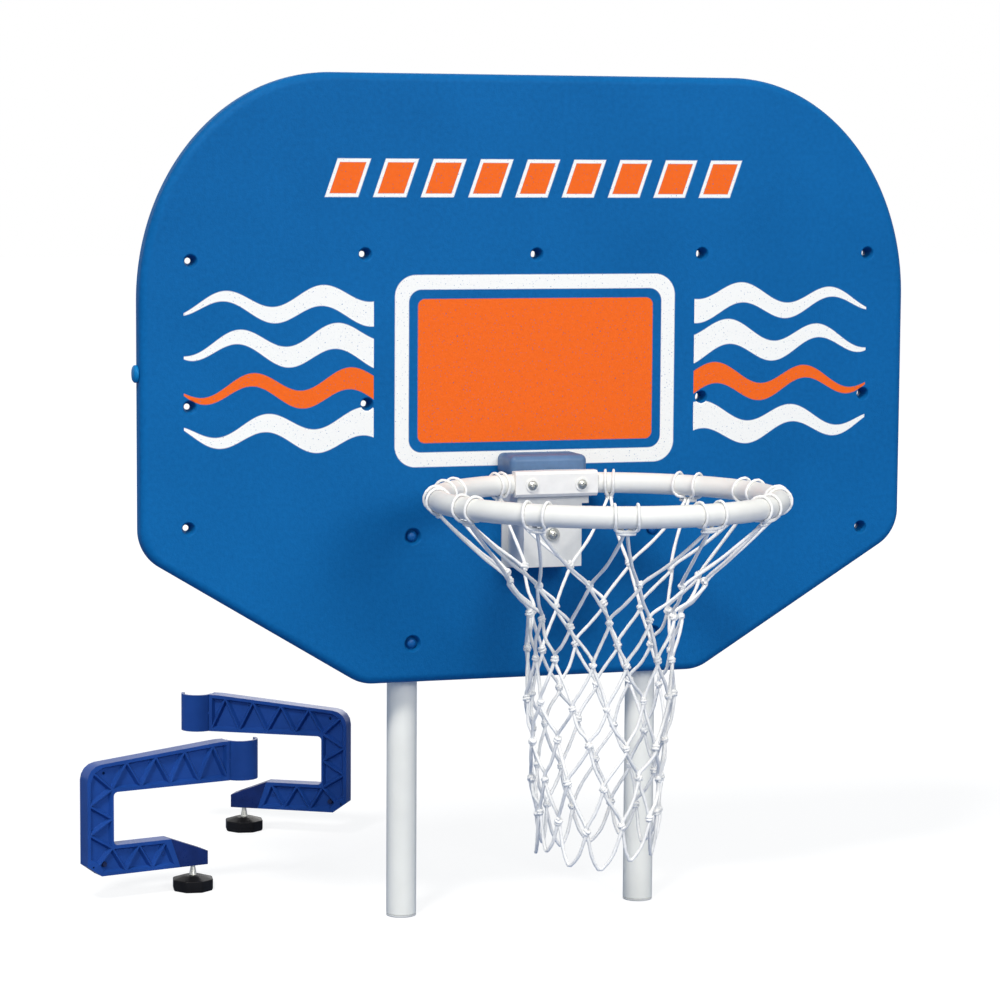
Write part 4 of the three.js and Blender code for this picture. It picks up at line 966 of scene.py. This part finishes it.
def stud(name, matrix, body, node):
    """A stud with a helical thread, and a bright cone between the jaw and the knob."""
    seat = CONE_GAP - KNOB_GAP
    rows = int((STUD_TOP - STUD_BOTTOM) / THREAD_PITCH * THREAD_ROWS)
    points = []
    for i in range(rows + 1):
        z = STUD_BOTTOM + (STUD_TOP - STUD_BOTTOM) * i / rows
        for k in range(STUD_SEGMENTS):
            turn = 2 * math.pi * k / STUD_SEGMENTS
            phase = ((z - STUD_BOTTOM) / THREAD_PITCH - k / STUD_SEGMENTS) % 1
            radius = STUD_RADIUS - THREAD_DEEP * (1 - abs(2 * phase - 1))
            if seat <= z <= 0:
                cone = STUD_RADIUS + (CONE_RADIUS - STUD_RADIUS) * (z / seat) ** CONE_POWER
                radius = max(radius, cone)
            points.append(matrix @ Vector((radius * math.cos(turn), radius * math.sin(turn), z)))
    piece = mesh_piece(name, points, capped_faces(rows + 1, STUD_SEGMENTS))
    dress(shade(piece, 50, False), body, "steel", node)


def knob(name, matrix, body, node):
    """An eight-sided hand knob: upright sides, a shoulder that rises to a flat crown, and rounded corners."""
    base, top = -KNOB_GAP - KNOB_TALL, -KNOB_GAP
    rows = [(26, base), (29.5, base + 0.6), (30.7, base + 2.2), (31, base + 4), (31, top - 5.8),
            (30.5, top - 5.1), (29.4, top - 4.6), (14.4, top - 0.4), (13, top - 0.1), (11, top), (3.4, top)]
    half_side = math.pi / KNOB_SIDES
    points = []
    for radius, z in rows:
        flat = min(1.0, max(0.0, (radius - KNOB_CROWN) / (KNOB_SHOULDER - KNOB_CROWN)))
        for side in range(KNOB_SIDES):
            for k in range(KNOB_STEPS):
                turn = 2 * math.pi * (side + k / KNOB_STEPS) / KNOB_SIDES
                polygon = radius * math.cos(half_side) / math.cos(turn % (2 * half_side) - half_side)
                r = radius * (1 - flat) + min(polygon, radius * KNOB_CORNER) * flat
                points.append(matrix @ Vector((r * math.cos(turn), r * math.sin(turn), z)))
    piece = mesh_piece(name, points, capped_faces(len(rows), KNOB_SIDES * KNOB_STEPS))
    dress(shade(piece, 30), body, "knob", node)


def brackets():
    for name, (x, y, heading) in BRACKETS.items():
        jaw_under = Matrix.Translation((x, y, KNOB_GAP + KNOB_TALL))
        matrix = jaw_under @ Matrix.Rotation(math.radians(heading), 4, "Z")
        refined(f"{name}_arm", 0.9)
        refined(f"{name}_jaw", 0.8)
        refined(f"{name}_nut", 0.3)
        repaint(refined(f"{name}_jaw_pin", 0.3), "pin")
        repaint(refined(f"{name}_corner_screw", 0.3), "dark_screw")
        refined(f"{name}_pad", 0.5)
        stud(f"{name}_thread", matrix, f"{name}_screw", f"{name}_stud")
        knob(f"{name}_hand_knob", matrix, f"{name}_screw", f"{name}_knob")


# Floor, world and lamps, in metres and watts

def pale_floor():
    """Pale, and nearly white to the camera far away; its shadow stays, and it gives a bluish bounce."""
    nodes = Nodes("floor_pale")
    seen = nodes.add("ShaderNodeLightPath").outputs["Is Camera Ray"]
    pale = nodes.mix(nodes.noise(3, 2), rgb("f0f0f0"), rgb("f4f4f4"))
    nodes.surface(Base_Color=nodes.mix(seen, rgb("7888a8"), pale), Roughness=0.9, Specular_IOR_Level=0.0)
    away = nodes.add("ShaderNodeVectorMath", operation="LENGTH")
    nodes.put(away.inputs[0], nodes.place)
    glow = nodes.add("ShaderNodeEmission")
    nodes.put(glow.inputs["Color"], (1, 1, 1, 1))
    nodes.put(glow.inputs["Strength"], nodes.span(away.outputs["Value"], 2, 9, 1.17, 1.33))
    blend = nodes.add("ShaderNodeMixShader")
    nodes.put(blend.inputs[0], nodes.math("MULTIPLY", seen, 0.7))
    nodes.put(blend.inputs[1], nodes.shader.outputs[0])
    nodes.put(blend.inputs[2], glow.outputs[0])
    nodes.put(nodes.tree.nodes["Material Output"].inputs["Surface"], blend.outputs[0])
    floor = link("floor", bpy.data.meshes.new("floor"))
    floor.data.from_pydata([(-30, -30, 0), (30, -30, 0), (30, 30, 0), (-30, 30, 0)], [], [(0, 1, 2, 3)])
    floor.data.materials.append(nodes.material)


def studio_world():
    """A soft bluish sky as light; rays from the camera, through glass and off gloss meet plain white."""
    world = bpy.data.worlds.new("studio")
    bpy.context.scene.world = world
    world.use_nodes = True
    nodes, links = world.node_tree.nodes, world.node_tree.links
    path = nodes.new("ShaderNodeLightPath")
    soft, white = nodes["Background"], nodes.new("ShaderNodeBackground")
    for background, colour, strength in ((soft, (0.80, 0.90, 1, 1), 0.36), (white, (1, 1, 1, 1), 1.0)):
        background.inputs["Color"].default_value = colour
        background.inputs["Strength"].default_value = strength
    seen = path.outputs["Is Camera Ray"]
    for ray in ("Is Transmission Ray", "Is Glossy Ray"):
        either = nodes.new("ShaderNodeMath")
        either.operation = "MAXIMUM"
        links.new(seen, either.inputs[0])
        links.new(path.outputs[ray], either.inputs[1])
        seen = either.outputs[0]
    mixer = nodes.new("ShaderNodeMixShader")
    for socket, source in zip(mixer.inputs, (seen, soft.outputs[0], white.outputs[0])):
        links.new(source, socket)
    links.new(mixer.outputs[0], nodes["World Output"].inputs["Surface"])


def lamp(name, place, aim, watts, kind="AREA"):
    """A warm lamp at a place, turned towards its aim."""
    light = bpy.data.lights.new(name, kind)
    light.energy, light.color = watts, (1, 0.975, 0.935)
    holder = link(name, light)
    holder.location = place
    holder.rotation_euler = (Vector(aim) - Vector(place)).to_track_quat("-Z", "Y").to_euler()
    return light


def disc_lamp(name, place, aim, size, watts):
    light = lamp(name, place, aim, watts)
    light.shape, light.size = "DISK", size


def lamps():
    disc_lamp("key", (-3.6, -4.4, 7.6), (0, 0, 0.6), 2.0, 510)
    disc_lamp("fill", (1.1, -6.9, 3.3), (0, 0, 0.3), 3.0, 262)
    disc_lamp("back", (3.0, 6.5, 3.2), (0, 0, 0.6), 4.0, 120)
    spot = lamp("spot", (-2.2, -1.6, 1.5), (-0.245, 0.69, 0.22), 120, "SPOT")
    spot.shadow_soft_size = 0.3
    spot.spot_size, spot.spot_blend = math.radians(13), 1.0


photo_camera()
backboard()
edge_plug()
rim()
posts()
net()
brackets()
pale_floor()
studio_world()
lamps()

bpy.context.scene.view_settings.view_transform = "Standard"
